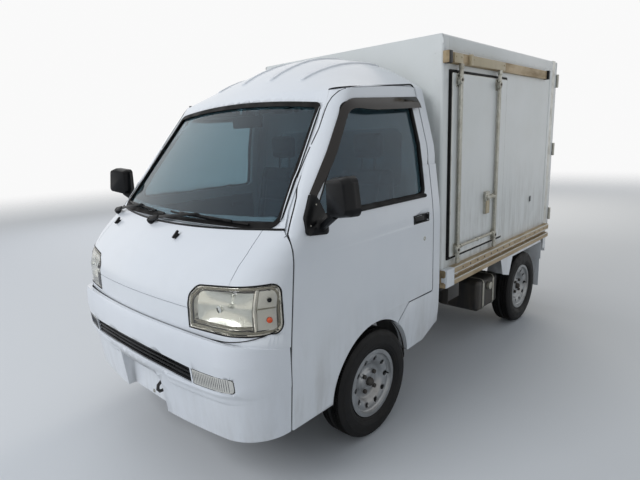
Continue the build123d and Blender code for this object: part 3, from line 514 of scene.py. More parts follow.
def frontY(x, z, rows=noseRows, foremost=plan["noseY"]):
    half, back, corner, cornerX, cornerY = cornerAt(z, rows, foremost)
    bow, x = plan["bow"], min(abs(x), half - 0.0005)
    if x > cornerX * bow / (bow - corner):
        return cornerY - math.sqrt(corner ** 2 - (x - cornerX) ** 2)
    return foremost + back + bow - math.sqrt(bow ** 2 - x ** 2)


def noseNormal(x, z):
    reach = noseShade["reach"]
    slopeX = (frontY(x + reach, z) - frontY(x - reach, z)) / (2 * reach)
    slopeZ = (frontY(x, z + reach) - frontY(x, z - reach)) / (2 * reach)
    return Vector((slopeX, -1, slopeZ)).normalized()


for shellName in ("frontPanelShell", "frontLidShell"):
    mesh = bpy.data.objects[shellName].data
    shades = [corner.vector.copy() for corner in mesh.corner_normals]
    for face in mesh.polygons:
        middle = face.center
        offNose = abs(middle.y - frontY(middle.x, middle.z))
        if face.normal.y < noseShade["facing"] and offNose < noseShade["near"]:
            for index in face.loop_indices:
                spot = mesh.vertices[mesh.loops[index].vertex_index].co
                if abs(spot.x) < noseShade["half"]:
                    shades[index] = noseNormal(spot.x, spot.z)
    mesh.normals_split_custom_set(shades)


def sideX(y, z):
    half, back, corner, cornerX, cornerY = cornerAt(z)
    return half if y >= cornerY else cornerX + math.sqrt(max(corner ** 2 - (y - cornerY) ** 2, 0))


def roundedPath(corners, steps=6, closed=True):
    path = []
    count = len(corners)
    for i, (point, radius) in enumerate(corners):
        here = Vector(point)
        if not closed and i in (0, count - 1) or not radius:
            path.append(here)
            continue
        before, after = Vector(corners[i - 1][0]) - here, Vector(corners[(i + 1) % count][0]) - here
        half = before.angle(after) / 2
        reach = radius / math.tan(half)
        first, last = here + before.normalized() * reach, here + after.normalized() * reach
        for n in range(steps + 1):
            t = n / steps
            path.append((1 - t) ** 2 * first + 2 * t * (1 - t) * here + t ** 2 * last)
    return path


def strip(name, points, radius, closed=False, sides=3):
    curve = bpy.data.curves.new(name, "CURVE")
    curve.dimensions, curve.bevel_depth, curve.bevel_resolution = "3D", radius, sides
    curve.use_fill_caps = not closed
    line = curve.splines.new("POLY")
    line.points.add(len(points) - 1)
    for target, point in zip(line.points, points):
        target.co = (*point, 1)
    line.use_cyclic_u = closed
    piece = bpy.data.objects.new(name, curve)
    bpy.context.scene.collection.objects.link(piece)
    makeActive(piece)
    bpy.ops.object.convert(target="MESH")
    return named(bpy.context.object, name)


def bar(name, start, end, widths, thick, up, bevel=0.001):
    deselectAll()
    start, end, up = Vector(start), Vector(end), Vector(up)
    along = (end - start).normalized()
    side = along.cross(up).normalized()
    up = side.cross(along)
    bpy.ops.mesh.primitive_cube_add(size=1)
    piece = named(bpy.context.object, name)
    for corner in piece.data.vertices:
        low = corner.co.y < 0
        width = widths[0] if low else widths[1]
        corner.co = (start if low else end) + side * corner.co.x * width + up * corner.co.z * thick
    facesOut(piece)
    if bevel:
        bevelEdges(piece, bevel, 2)
    return piece


def bothSides(piece, name, material, bodies=("root", "root"), smooth=30):
    twin = copied(piece, name + "Right", flip=True)
    finish(named(piece, name + "Left"), material, bodies[0], smooth)
    finish(twin, material, bodies[1], smooth)
    return piece, twin


def fitted(name, pieces, material, smooth=30):
    return finish(joined(name, *pieces), material, "root", smooth)


def paired(name, pieces, material, bodies=("root", "root"), smooth=30):
    return bothSides(joined(name, *pieces), name, material, bodies, smooth)


# Tyres: a turned carcass with four grooves and sidewall ribs, its shoulder blocks cut in edit mode
tyre = {"radius": 0.271, "bead": 0.1545, "seat": 0.0515, "grooveDepth": 0.0075, "grooveWidth": 0.006,
        "blocks": 72, "grooves": (-0.033, -0.0115, 0.0115, 0.033), "x": 0.6525,
        "ys": {"front": -0.82, "rear": 1.08}}
outer = [(tyre["seat"], tyre["bead"]), (tyre["seat"], 0.169), (0.0565, 0.1745), (0.0635, 0.1785),
         (0.0645, 0.183), (0.0675, 0.186), (0.0705, 0.199), (0.0716, 0.2005), (0.0722, 0.212),
         (0.0716, 0.226), (0.0700, 0.2375), (0.0708, 0.2385), (0.0702, 0.2415), (0.0686, 0.2425),
         (0.0662, 0.2520), (0.0625, 0.2592), (0.0592, 0.2625), (0.0545, 0.2668), (0.0475, 0.2688)]
treadLine = []
for middle in tyre["grooves"]:
    half = tyre["grooveWidth"] / 2
    top = tyre["radius"] - 0.0022 * (middle / 0.045) ** 2
    treadLine += [(middle - half, top), (middle - half * 0.5, top - tyre["grooveDepth"]),
                  (middle + half * 0.5, top - tyre["grooveDepth"]), (middle + half, top)]
tyreProfile = [(-x, r) for x, r in outer] + treadLine + [(x, r) for x, r in reversed(outer)]
tyreMesh = turned("tyreMould", tyreProfile, (0, 0, 0), toLeft, tyre["blocks"] * 2)


def isBlockGap(face):
    middle = face.calc_center_median()
    radius = math.hypot(middle.y, middle.z)
    turn = math.degrees(math.atan2(middle.z, middle.y)) % 360
    step = 360 / tyre["blocks"]
    across = abs(middle.x)
    gap = (turn + (step / 2 if across < 0.03 else 0)) % step < step / 2
    return gap and radius > 0.2655 and (0.036 < across < 0.055 or 0.014 < across < 0.031)


editFaces(tyreMesh, isBlockGap)
bpy.ops.mesh.inset(thickness=0.0016, depth=-0.0045, use_individual=True)
leaveEdit()
for end in ("front", "rear"):
    for side in leftRight:
        sign = 1 if side == "left" else -1
        spot = (sign * tyre["x"], tyre["ys"][end], tyre["radius"])
        name = end + side.capitalize()
        piece = copied(tyreMesh, "tyre" + name[0].upper() + name[1:], spot)
        finish(piece, tyreRubber, "wheel_%s_%s" % (end, side), 25)
        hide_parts("tyre_%s_%s" % (end, side))
        # A hub cap, four wheel nuts and a rubber valve stand on the CAD rim
        outX = spot[0] + sign * 0.028
        cap = turned("hubCap" + name, [(0, 0.0005), (0, 0.022), (0.012, 0.021), (0.020, 0.016),
                                       (0.023, 0.009), (0.0235, 0.0005)], (outX, spot[1], spot[2]),
                     (sign, 0, 0), 28)
        nuts = []
        for n in range(4):
            turn = math.radians(45 + 90 * n)
            at = (outX - sign * 0.002, spot[1] + 0.054 * math.cos(turn), spot[2] + 0.054 * math.sin(turn))
            nuts.append(rod("nut", at, (at[0] + sign * 0.013, at[1], at[2]), 0.0125, 6, 0.0012, 0.0115))
        cap = joined("hubFittings" + name, cap, *nuts)
        finish(cap, castIron, "wheel_%s_%s" % (end, side), 35)
        valve = rod("tyreValve" + name, (spot[0] + sign * 0.034, spot[1] + 0.131, spot[2]),
                    (spot[0] + sign * 0.058, spot[1] + 0.128, spot[2]), 0.0045, 12, 0.001, 0.003)
        finish(valve, tyreRubber, "wheel_%s_%s" % (end, side))
bpy.data.objects.remove(tyreMesh)
print("wheels dressed")

# Wipers: pivot cap, tapered arm with a cranked end, and a blade whose claws carry the rubber
wiper = {"lift": 0.030, "bladeLift": 0.012}
# name, then (x, z) of the pivot, of the blade's middle and of its two ends
wiperRows = [("Near", (-0.150, 1.094), (0.200, 1.137), (-0.035, 1.1395), (0.505, 1.1245)),
             ("Far", (-0.645, 1.094), (-0.330, 1.142), (-0.560, 1.146), (-0.085, 1.129))]
screenUp = Vector((0, -0.777, 0.629))


def onScreen(x, z, lift):
    return Vector((x, frontY(x, z), z)) + screenUp * lift


wiperParts = []
for word, pivot, grip, first, last in wiperRows:
    base = onScreen(*pivot, 0.004)
    cap = turned("wiperCap" + word, [(0, 0.0005), (0, 0.019), (0.014, 0.018), (0.024, 0.013),
                                     (0.028, 0.0005)], base, screenUp, 24)
    crank = onScreen(pivot[0] + 0.07, pivot[1] + 0.012, wiper["lift"] - 0.002)
    tip = onScreen(*grip, wiper["lift"])
    arm = bar("wiperArm" + word, onScreen(*pivot, 0.024), crank, (0.026, 0.017), 0.011, screenUp)
    reach = bar("wiperReach" + word, crank, tip, (0.015, 0.009), 0.006, screenUp)
    hook = bar("wiperHook" + word, tip, onScreen(grip[0] + 0.012, grip[1] - 0.001, 0.016), (0.010, 0.009),
               0.005, toLeft)
    ends = [Vector((*first, 0)), Vector((*last, 0))]
    pieces = [cap, arm, reach, hook]
    spots = [onScreen(*ends[0].lerp(ends[1], t / 12).to_2d(), wiper["bladeLift"]) for t in range(13)]
    for n in range(12):
        pieces.append(bar("wiperSpine", spots[n], spots[n + 1], (0.008, 0.008), 0.004, screenUp, 0))
        low = [spot - screenUp * 0.007 for spot in spots[n:n + 2]]
        pieces.append(bar("wiperRubber", low[0], low[1], (0.003, 0.003), 0.009, screenUp, 0))
    for t in (2, 4, 8, 10):
        pieces.append(bar("wiperClaw", spots[t] + screenUp * 0.006,
                          spots[t + (1 if t < 6 else -1)] + screenUp * 0.010, (0.011, 0.009), 0.007,
                          screenUp, 0.0005))
    bridge = bar("wiperBridge", spots[3] + screenUp * 0.011, spots[9] + screenUp * 0.011, (0.009, 0.009),
                 0.005, screenUp, 0.0005)
    wiperParts += pieces + [bridge]
wiperPiece = fitted("wiperSet", wiperParts, blackPlastic)
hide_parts("wipers")
washerParts = []
for x, z in ((-0.509, 1.059), (0.139, 1.061)):
    foot = Vector((x, frontY(x, z), z))
    up = Vector((0, -0.70, 0.71))
    washerParts.append(bar("washerFoot", foot - up * 0.002, foot + up * 0.012, (0.016, 0.012), 0.026,
                           (0, 0.71, 0.70), 0.003))
    washerParts.append(bar("washerHead", foot + up * 0.010 + Vector((0, -0.015, -0.012)),
                           foot + up * 0.014 + Vector((0, 0.017, 0.015)), (0.014, 0.012), 0.010, up, 0.003))
fitted("washerNozzles", washerParts, blackPlastic)
# A painted strip beside the windscreen's rubber, laid over the outline
flange = {"low": (0.6435, 1.150), "high": (0.5535, 1.592), "wide": 0.0090, "proud": -0.0047, "steps": 24}
edging = grid("screenFlange", flange["steps"], 3)
for corner in edging.data.vertices:
    along, across = corner.co.x + 0.5, corner.co.y + 0.5
    x = flange["low"][0] + (flange["high"][0] - flange["low"][0]) * along
    z = flange["low"][1] + (flange["high"][1] - flange["low"][1]) * along
    width = flange["wide"] * min(1, 6 * along + 0.2, 6 * (1 - along) + 0.2)
    x += -0.0035 + 0.0065 * min(max((along - 0.33) / 0.1, 0), 1) - width * across
    corner.co = (x, frontY(x, z) + flange["proud"] + 0.003 * (2 * across - 1) ** 4, z)
bothSides(edging, "screenFlange", bodyPaint, smooth=50)
print("wipers dressed")

# Door dressing: window rubbers, the smoked rain visor, handle cup, lock, and dark gap seals whose black is
# painted shade in the door gaps
door = {"window": [((-1.206, 1.150), .02), ((-0.905, 1.602), .06), ((-0.372, 1.612), .04),
                   ((-0.372, 1.150), .04)],
        "outline": [((-1.382, 0.300), 0), ((-1.382, 0.62), .3), ((-1.330, 1.1), .03), ((-0.921, 1.668), .07),
                    ((-0.306, 1.710), .026), ((-0.306, 0.614), .014), ((-0.548, 0.614), .02)],
        "sealDepth": 0.006, "visorOut": 0.018, "visorWidth": 0.060, "visorThick": 0.003,
        "visorLine": [((-1.200, 1.245), 0), ((-0.897, 1.621), .155), ((-0.318, 1.644), 0)]}


def sidePoints(path, out):
    return [(sideX(p[0], p[1]) + out, p[0], p[1]) for p in path]


def sunkPoints(path, depth):
    spots = []
    for y, z in path:
        half, back, corner, cornerX, cornerY = cornerAt(z)
        if y < cornerY:
            turn = math.acos(min(max((cornerY - y) / corner, -1), 1))
            inside = corner - depth
            spots.append((cornerX + inside * math.sin(turn), cornerY - inside * math.cos(turn), z))
        else:
            spots.append((half - depth, y, z))
    return spots


def densePath(path, stepLength=0.05):
    dense = []
    for first, second in zip(path, path[1:]):
        count = max(1, int((second - first).length / stepLength))
        dense += [first.lerp(second, n / count) for n in range(count)]
    return dense + [path[-1]]


def ringAlong(corners, stepLength=0.2):
    path = roundedPath(corners)
    return densePath(path + path[:1], stepLength)[:-1]


doorBodies = ("door_left", "door_right")
rubber = strip("windowRubber", sidePoints(ringAlong(door["window"], 0.05), -0.010), 0.011, True)
bothSides(rubber, "windowRubber", rubberSeal, doorBodies)
# A rubber seal round the door, set only 6 mm into the gap so that its black stands in for the gap's shade:
# partly a real seal, partly painted shade
gapPath = densePath(roundedPath(door["outline"], closed=False))
gapSealAndShade = strip("doorGapSeal", sunkPoints(gapPath, door["sealDepth"]), 0.0037)
bothSides(gapSealAndShade, "doorGapSeal", rubberSeal, ("root", "root"))
# Painted shade of the door gap beside the windscreen, as dark strips on the panels, in two parts: the low one
# stays, the high one opens with the door
gapShadeLine = {"low": [(0.615, -1.184, 1.305), (0.607, -1.115, 1.392), (0.605, -1.090, 1.424)],
            "high": [(0.605, -1.082, 1.434), (0.603, -1.030, 1.497), (0.590, -0.977, 1.567),
                     (0.586, -0.950, 1.601), (0.590, -0.925, 1.629), (0.602, -0.896, 1.653),
                     (0.616, -0.862, 1.666)]}


def laidOn(carrierName, corners, stepLength=0.02):
    carrier = bpy.data.objects[carrierName]
    path = densePath([Vector(corner) for corner in corners], stepLength)
    return [carrier.closest_point_on_mesh(spot)[1] for spot in path]


bothSides(strip("pillarLine", laidOn("cabFrameShell", gapShadeLine["low"]), 0.0024), "pillarLine", rubberSeal)
bothSides(strip("doorEdgeLine", laidOn("doorLeftShell", gapShadeLine["high"]), 0.0023), "doorEdgeLine",
          rubberSeal, doorBodies)
beltPath = densePath([Vector((-1.165, 1.146)), Vector((-0.372, 1.146))])
belt = joined("beltMoulding", strip("beltLow", sidePoints(beltPath, 0.001), 0.009),
              strip("beltHigh", sidePoints(beltPath, -0.006), 0.012))
bothSides(belt, "beltMoulding", rubberSeal, doorBodies)

# Smoked acrylic sheet: dark and see-through, glossy, with faint scratches
smokedAcrylic, smokedTree = newMaterial("smokedAcrylicSheet")
smokedCoords = addNode(smokedTree, "TexCoord").outputs["Object"]
scratched = noiseMask(smokedTree, smokedCoords, 40, 0.4, 0.8)
smokedRough = addNode(smokedTree, "MapRange", {"Value": scratched, "To Min": 0.08, "To Max": 0.3}).outputs[0]
closeMaterial(smokedTree, addNode(smokedTree, "BsdfPrincipled",
                                  {"Base Color": hexColour("#1a120d"), "Roughness": smokedRough, "IOR": 1.49,
                                   "Transmission Weight": 0.45, "Specular IOR Level": 0.3}))
visorLine = densePath(roundedPath(door["visorLine"], closed=False), 0.04)
visor = grid("rainVisor", len(visorLine) - 1, 3)
rowsOf = {}
for corner in visor.data.vertices:
    rowsOf.setdefault(round(corner.co.x, 4), []).append(corner)
for n, key in enumerate(sorted(rowsOf)):
    here = visorLine[n]
    onward = (visorLine[min(n + 1, len(visorLine) - 1)] - visorLine[max(n - 1, 0)]).normalized()
    inward = Vector((onward.y, -onward.x))
    for m, corner in enumerate(sorted(rowsOf[key], key=lambda v: v.co.y)):
        share = m / 3
        reached = (here - visorLine[0]).length
        taper = min(0.35 + reached, 0.52) + 0.4 * min(max((reached - 0.42) / 0.2, 0), 1)
        spot = here + inward * door["visorWidth"] * share * taper
        out = 0.003 + door["visorOut"] * math.sin(share * math.pi / 2) * taper
        corner.co = (sideX(spot.x, spot.y) + out, spot.x, spot.y)
thickened(visor, door["visorThick"])
bothSides(visor, "rainVisor", smokedAcrylic, doorBodies, 50)

# Door handle: a cup with a grip across it, and the lock below
handleLook = {"cup": ((0.7165, -0.4985, 1.0115), (0.7388, -0.3515, 1.0565)), "rim": 0.005, "deep": 0.012,
              "grip": ((0.7215, -0.4900, 1.0215), (0.7375, -0.4000, 1.0475)), "lock": (0.737, -0.394, 0.923)}
cup = block("handleCup", *handleLook["cup"], 0)
editFaces(cup, lambda face: face.normal.x > 0.9)
bpy.ops.mesh.inset(thickness=handleLook["rim"], depth=0)
bpy.ops.mesh.inset(thickness=0.002, depth=-handleLook["deep"])
leaveEdit()
bevelEdges(cup, 0.0012, 2)
grip = block("handleGrip", *handleLook["grip"], 0.005, 4)
handle = joined("doorHandle", cup, grip)
bothSides(handle, "doorHandle", blackPlastic, doorBodies)
lockRing = turned("doorLock", [(0, 0.004), (0.0015, 0.0045), (0.0015, 0.0095), (0, 0.0115), (-0.006, 0.0115),
                               (-0.006, 0.004)], handleLook["lock"], toLeft, 28)
bothSides(lockRing, "doorLock", zincSteel, doorBodies)

# Mirror screws: three on each mirror's foot
screwProfile = [(0, 0.0003), (0, 0.0035), (0.0018, 0.003), (0.0024, 0.0003)]
screwParts = []
for y, z in ((-1.196, 1.205), (-1.243, 1.128), (-1.207, 1.124)):
    screwParts.append(turned("mirrorScrew", screwProfile, (sideX(y, z) + 0.012, y, z), (1, 0.1, 0.12), 14))
screws = joined("mirrorScrews", *screwParts)
bothSides(screws, "mirrorScrews", zincSteel, doorBodies)
print("doors dressed")

# Headlamps: outline gasket, bezel, reflector with its dish and bulb, indicator cells and lens ribs
lamp = {"front": [((0.4035, 0.7505), .014), ((0.4035, 0.8835), .036), ((0.440, 0.9215), .042),
                  ((0.560, 0.930), 0)],
        "outerY": -1.409, "low": 0.7505, "cornerRadius": 0.034, "dishDeep": 0.026,
        "dishMiddle": (0.572, 0.850)}
brightReflector = mouldedPlastic("aluminisedReflector",
                                 {"colour": "#d3d5d2", "faded": "#b9b9b0", "roughness": 0.24, "bump": 0.01,
                                  "metallic": 0.9, "fade": 0.4})
amberGlass = mouldedPlastic("amberBulbGlass", {"colour": "#d8501f", "faded": "#b9461d", "roughness": 0.15,
                                               "bump": 0.0, "fade": 0.3})
bezelGrey = mouldedPlastic("greyLampBezel", {"colour": "#8f8c80", "faded": "#7d7a6e", "roughness": 0.62,
                                             "bump": 0.04, "specular": 0.15})
indicatorGrey = mouldedPlastic("paleIndicatorReflector",
                               {"colour": "#c9cac7", "faded": "#b6b7b2", "roughness": 0.45, "bump": 0.03})


def onNose(x, z, deep=0.0):
    return Vector((x, frontY(x, z) + deep, z))


def cornerArc(edgeZ, upward, steps=7):  # gives (distance back from the outer end, height)
    arc = []
    radius = lamp["cornerRadius"]
    for n in range(steps + 1):
        turn = math.radians(90 * n / steps)
        arc.append((radius * (1 - math.sin(turn)), edgeZ + upward * radius * (1 - math.cos(turn))))
    return arc


def besideCorner(back, z, inset, deep):
    y = lamp["outerY"] - inset - back
    return Vector((sideX(y, z) - deep * 0.8, y - deep * 0.3, z))


def lampLine(inset, deep):
    front = []
    for (x, z), radius in lamp["front"]:
        shiftX, shiftZ = inset if x < 0.45 else 0, inset if z < 0.8 else -inset
        front.append(((x + shiftX, z + shiftZ), radius))
    line = [onNose(spot.x, spot.y, deep) for spot in densePath(roundedPath(front, closed=False), 0.02)]
    top, low = lamp["front"][-1][0][1] - inset, lamp["low"] + inset
    for n in range(1, 12):
        x = 0.560 + 0.0150 * n
        line.append(onNose(x, top + 0.011 * n / 12, deep))
    arcs = cornerArc(top + 0.010, -1) + cornerArc(low, 1)[::-1]
    line += [besideCorner(*spot, inset, deep) for spot in arcs]
    return line + [onNose(0.700 - 0.0165 * n, low, deep) for n in range(0, 18)]


gasket = strip("lampGasket", lampLine(0.0, 0.0015), 0.0032, True)
bothSides(gasket, "lampGasket", rubberSeal)
bezel = strip("lampBezel", lampLine(0.011, 0.0105), 0.0055, True)
bothSides(bezel, "lampBezel", bezelGrey)
cornerPatches = []
for edgeZ, upward, reach in ((0.942, -1, 0.005), (lamp["low"], 1, -0.003)):
    rim = [besideCorner(back, z, 0, -0.0012) for back, z in cornerArc(edgeZ, upward)]
    tip = besideCorner(-0.0045, edgeZ + reach, 0, -0.0012)
    deselectAll()
    bpy.ops.mesh.primitive_circle_add(vertices=len(rim) + 1, radius=1, fill_type="NGON")
    patch = named(bpy.context.object, "lampCornerPatch")
    for corner, spot in zip(patch.data.vertices, rim + [tip]):
        corner.co = spot
    makeActive(patch)
    bpy.ops.object.mode_set(mode="EDIT")
    bpy.ops.mesh.select_all(action="SELECT")
    bpy.ops.mesh.extrude_region_move(TRANSFORM_OT_translate={"value": (-0.003, 0.0015, 0)})
    bpy.ops.mesh.select_all(action="SELECT")
    bpy.ops.mesh.normals_make_consistent(inside=False)
    leaveEdit()
    cornerPatches.append(patch)
paired("lampCorners", cornerPatches, bodyPaint, smooth=40)
innerLine = strip("lampInnerLine", lampLine(0.0185, 0.0125), 0.0022, True)
bothSides(innerLine, "lampInnerLine", blackPlastic)


def reflectorSheet(name, lowX, highX, lowZ, highZ, deep, middle, columns=18, rows=14, edge=0.013):
    sheet = grid(name, columns, rows)
    for corner in sheet.data.vertices:
        x = lowX + (corner.co.x + 0.5) * (highX - lowX)
        z = lowZ + (corner.co.y + 0.5) * (highZ - lowZ)
        across, up = (x - middle[0]) / (highX - lowX) * 2, (z - middle[1]) / (highZ - lowZ) * 2
        corner.co = onNose(x, z, edge + deep * max(0, 1 - across ** 2) * max(0, 1 - up ** 2) ** 0.7)
    return sheet


dish = reflectorSheet("dish", 0.448, 0.680, 0.788, 0.912, lamp["dishDeep"], lamp["dishMiddle"])
hood = turned("bulbHood", [(0, 0.001), (0.004, 0.010), (0.010, 0.013), (0.020, 0.0135), (0.020, 0.001)],
              onNose(*lamp["dishMiddle"], 0.020), toFront, 24)
bulbGlass = turned("bulb", [(0, 0.001), (0.001, 0.006), (0.010, 0.0065), (0.014, 0.004), (0.0155, 0.001)],
                   onNose(*lamp["dishMiddle"], 0.012), toFront, 18)
bothSides(joined("lampReflector", dish, hood, bulbGlass), "lampReflector", brightReflector,
          smooth=50)
indicatorSheet = reflectorSheet("indicatorDish", 0.694, 0.728, 0.764, 0.924, 0.008,
                                (0.711, 0.842), 6, 16, 0.011)
ribParts = []
for z, radius in ((0.7665, 0.0026), (0.784, 0.0032)):
    ribParts.append(strip("lampRib", [onNose(0.430 + 0.0165 * n, z, 0.0095) for n in range(16)], radius))
ribParts.append(bar("indicatorRib", onNose(0.693, 0.853, 0.012), onNose(0.727, 0.853, 0.012), (0.004, 0.004),
                    0.010, toFront))
paired("lampTrim", ribParts, bezelGrey, smooth=50)
bothSides(indicatorSheet, "indicatorDish", indicatorGrey, smooth=50)
slotBar = strip("lampSlot", [onNose(0.434 + 0.0155 * n, 0.7565, 0.0085) for n in range(16)], 0.0034)
socket = turned("indicatorSocket", ringProfile(0, 0.006, 0.001, 0.0085), onNose(0.716, 0.884, 0.013),
                (0.75, -0.66, 0), 20)
bothSides(joined("lampDarkParts", slotBar, socket), "lampDarkParts", blackPlastic)
amber = turned("indicatorBulb", [(0, 0.001), (0, 0.0105), (0.008, 0.0115), (0.012, 0.009), (0.014, 0.001)],
               onNose(0.716, 0.808, 0.016), (0.75, -0.66, 0), 20)
bothSides(amber, "indicatorBulb", amberGlass)
print("headlamps dressed")


# Bumper: mesh and fins of the air slot, fog-lamp edge, lens and ribs, lower lip, painted shade of the top
# seam, tow hook and bolts
def onBumper(x, z, deep=0.0):
    return Vector((x, frontY(x, z, bumperRows, plan["bumperY"]) + deep, z))


bumperLook = {"slotX": 0.43, "slotTop": (0.597, 0.622), "slotLow": (0.528, 0.550),
              "fog": (0.440, 0.640, 0.530, 0.597)}


def slotZ(x, pair):
    radius = (bumperLook["slotX"] ** 2 + (pair[1] - pair[0]) ** 2) / (2 * (pair[1] - pair[0]))
    return pair[1] - radius + math.sqrt(radius ** 2 - x ** 2)


slotParts = []
for share in (0.06, 0.34, 0.62, 0.90):
    line = []
    for n in range(33):
        x = -0.424 + 0.0265 * n
        low, high = slotZ(x, bumperLook["slotLow"]), slotZ(x, bumperLook["slotTop"])
        line.append(onBumper(x, low + share * (high - low), 0.009))
    slotParts.append(strip("slotFin", line, 0.0045))
for n in range(57):
    x = -0.42 + 0.015 * n
    low, high = slotZ(x, bumperLook["slotLow"]), slotZ(x, bumperLook["slotTop"])
    slotParts.append(bar("slotMesh", onBumper(x, low, 0.012), onBumper(x, high, 0.012), (0.003, 0.003),
                         0.004, toFront, 0))
fitted("slotMesh", slotParts, blackPlastic)

# Fog lamp: its rubber edge, then the lens with its ribs
fogLow, fogHigh, fogBottom, fogTop = bumperLook["fog"]
fogPath = [((fogLow + 0.001, fogBottom + 0.001), .008), ((fogLow + 0.001, fogTop - 0.001), .008),
           ((fogHigh - 0.001, fogTop - 0.008), .014), ((fogHigh - 0.001, fogBottom + 0.001), .014)]
fogEdge = strip("fogEdge", [onBumper(p.x, p.y, 0.002) for p in ringAlong(fogPath, 0.03)], 0.0024, True)
bothSides(fogEdge, "fogEdge", rubberSeal)
fogRibs = []
for n in range(19):
    x = fogLow + 0.010 + 0.0095 * n
    ends = [onBumper(x, fogBottom + 0.006, 0.0005), onBumper(x, fogTop - 0.010, 0.0005)]
    fogRibs.append(strip("fogRib", ends, 0.0011))
fogLens = grid("fogLens", 20, 4)
for corner in fogLens.data.vertices:
    x = fogLow + 0.003 + (corner.co.x + 0.5) * (fogHigh - fogLow - 0.006)
    top = fogTop - 0.003 - 0.007 * max(0, (x - fogLow) / (fogHigh - fogLow))
    bend = 0.008 * max(0, (x - fogHigh + 0.016) / 0.016) ** 2
    z = fogBottom + 0.003 + bend + (corner.co.y + 0.5) * (top - fogBottom - 0.003 - 2 * bend)
    corner.co = onBumper(x, z, 0.0002)
fogGrey = mouldedPlastic("greyRibbedLens", {"colour": "#54565a", "faded": "#484a4e", "roughness": 0.3,
                                            "bump": 0.01, "specular": 0.15})
bothSides(joined("fogRibs", fogLens, *fogRibs), "fogRibs", fogGrey)
# The bumper's lower lip: its reach, its heights, and how far it stands out from low to high
lip = {"from": 0.236, "to": 0.704, "low": 0.466, "high": 0.527, "proud": 0.010,
       "shape": (-0.25, 0.45, 0.9, 1.0, 0.97, 0.85, 0.62, 0.3, -0.15)}
lipBand = grid("bumperLip", 40, len(lip["shape"]) - 1)
for corner in lipBand.data.vertices:
    along, row = corner.co.x + 0.5, round((corner.co.y + 0.5) * (len(lip["shape"]) - 1))
    x = lip["from"] + (lip["to"] - lip["from"]) * along
    z = lip["low"] + (lip["high"] - lip["low"]) * row / (len(lip["shape"]) - 1)
    fade = min(1, 12 * along) * min(1, 3.2 * (1 - along)) ** 1.5
    corner.co = onBumper(x, z, -lip["proud"] * (lip["shape"][row] * fade - 0.12 * (1 - fade)))
bothSides(lipBand, "bumperLip", bumperPaint, smooth=60)
# Painted shade of the seam between the bumper and the nose: a thin dark line laid on the surface
seamShadeLine = []
for n in range(73):
    x = 0.7295 * (n - 36) / 36
    y = -1.64
    for turn in range(4):
        z = 0.673 + 0.24 * (y + 1.8)
        y = frontY(x, z)
    seamShadeLine.append(Vector((x, y - 0.0004, z)))
finish(strip("bumperSeam", seamShadeLine, 0.0019), rubberSeal, "root")
hookPath = [(0.115, -1.560, 0.415), (0.115, -1.612, 0.415), (0.118, -1.630, 0.404), (0.118, -1.634, 0.386),
            (0.116, -1.624, 0.372), (0.114, -1.606, 0.370), (0.113, -1.594, 0.380)]
finish(strip("towHook", hookPath, 0.0075, sides=4), chassisPaint, "root")
recessParts = []
for x, z in ((-0.150, 0.458), (0.150, 0.458), (0.0, 0.320)):
    recessParts.append(turned("recessBolt", [(0, 0.001), (0, 0.0095), (0.004, 0.0085), (0.006, 0.001)],
                              (x, -1.5935, z), toFront, 6))
fitted("recessBolts", recessParts, zincSteel)
print("bumper dressed")

# Insulated box: corner profiles, rail lips, bolts and end pieces, and the side door's fittings
boxLook = {"front": -0.160, "rear": 1.544, "half": 0.701, "low": 0.605, "top": 1.964, "trim": 0.0014,
           "railLow": 0.585, "railTop": 0.690, "upperRail": 1.845, "doorFront": -0.100, "boltPitch": 0.215,
           "edgeTop": 1.950, "edgeLow": 1.886}


def extrudedStrip(name, outline, start, end, thick):
    # A flat strip is bent along the outline of (x, y) pairs and raised from start to end
    piece = grid(name, len(outline) - 1, 1)
    columns = sorted({round(corner.co.x, 4) for corner in piece.data.vertices})
    for corner in piece.data.vertices:
        x, y = outline[columns.index(round(corner.co.x, 4))]
        corner.co = (x, y, start if corner.co.y < 0 else end)
    thickened(piece, thick, 0)
    facesOut(piece)
    return piece


def screwHead(at, axis, radius=0.0055, high=0.0025, sides=16):
    return turned("screw", [(0, 0.0003), (0, radius), (high * 0.6, radius * 0.85), (high, radius * 0.45),
                            (high, 0.0003)], at, axis, sides)


half, front = boxLook["half"], boxLook["front"]
corner = [(0.640, front - 0.0004), (0.684, front - 0.0004)]
for n in range(7):
    turn = math.radians(90 - 15 * n)
    corner.append((0.685 + 0.0168 * math.cos(turn), front + 0.016 - 0.0168 * math.sin(turn)))
corner += [(half + 0.0008, front + 0.018), (half + 0.0008, boxLook["doorFront"] - 0.004)]
cornerTrim = extrudedStrip("cornerTrim", corner, boxLook["low"] + 0.002, boxLook["top"] - 0.017,
                           boxLook["trim"])
rivets = []
for n in range(10):
    z = boxLook["low"] + 0.06 + 0.134 * n
    rivets.append(screwHead((half + 0.0014, boxLook["doorFront"] - 0.016, z), toLeft, 0.004, 0.002, 12))
    rivets.append(screwHead((0.655, front - 0.001, z), toFront, 0.004, 0.002, 12))
bothSides(joined("boxCornerTrim", cornerTrim, *rivets), "boxCornerTrim", boxPaint,
          smooth=40)
topTrim = block("topTrim", (half - 0.0005, boxLook["doorFront"] - 0.002, boxLook["edgeLow"]),
                (half + 0.0016, boxLook["rear"] - 0.002, boxLook["edgeTop"]), 0.0007)
topRivets = []
for n in range(14):
    topRivets.append(screwHead((half + 0.0016, -0.05 + 0.12 * n, 1.900), toLeft, 0.004, 0.002, 12))
rearTrim = block("rearTrim", (half - 0.0005, boxLook["rear"] - 0.052, boxLook["railTop"] + 0.002),
                 (half + 0.0016, boxLook["rear"] - 0.002, boxLook["edgeLow"] - 0.002), 0.0007)
for n in range(10):
    topRivets.append(screwHead((half + 0.0016, boxLook["rear"] - 0.040, 0.75 + 0.12 * n), toLeft,
                               0.004, 0.002, 12))
bothSides(joined("boxEdgeTrim", topTrim, rearTrim, *topRivets), "boxEdgeTrim", boxPaint,
          smooth=40)

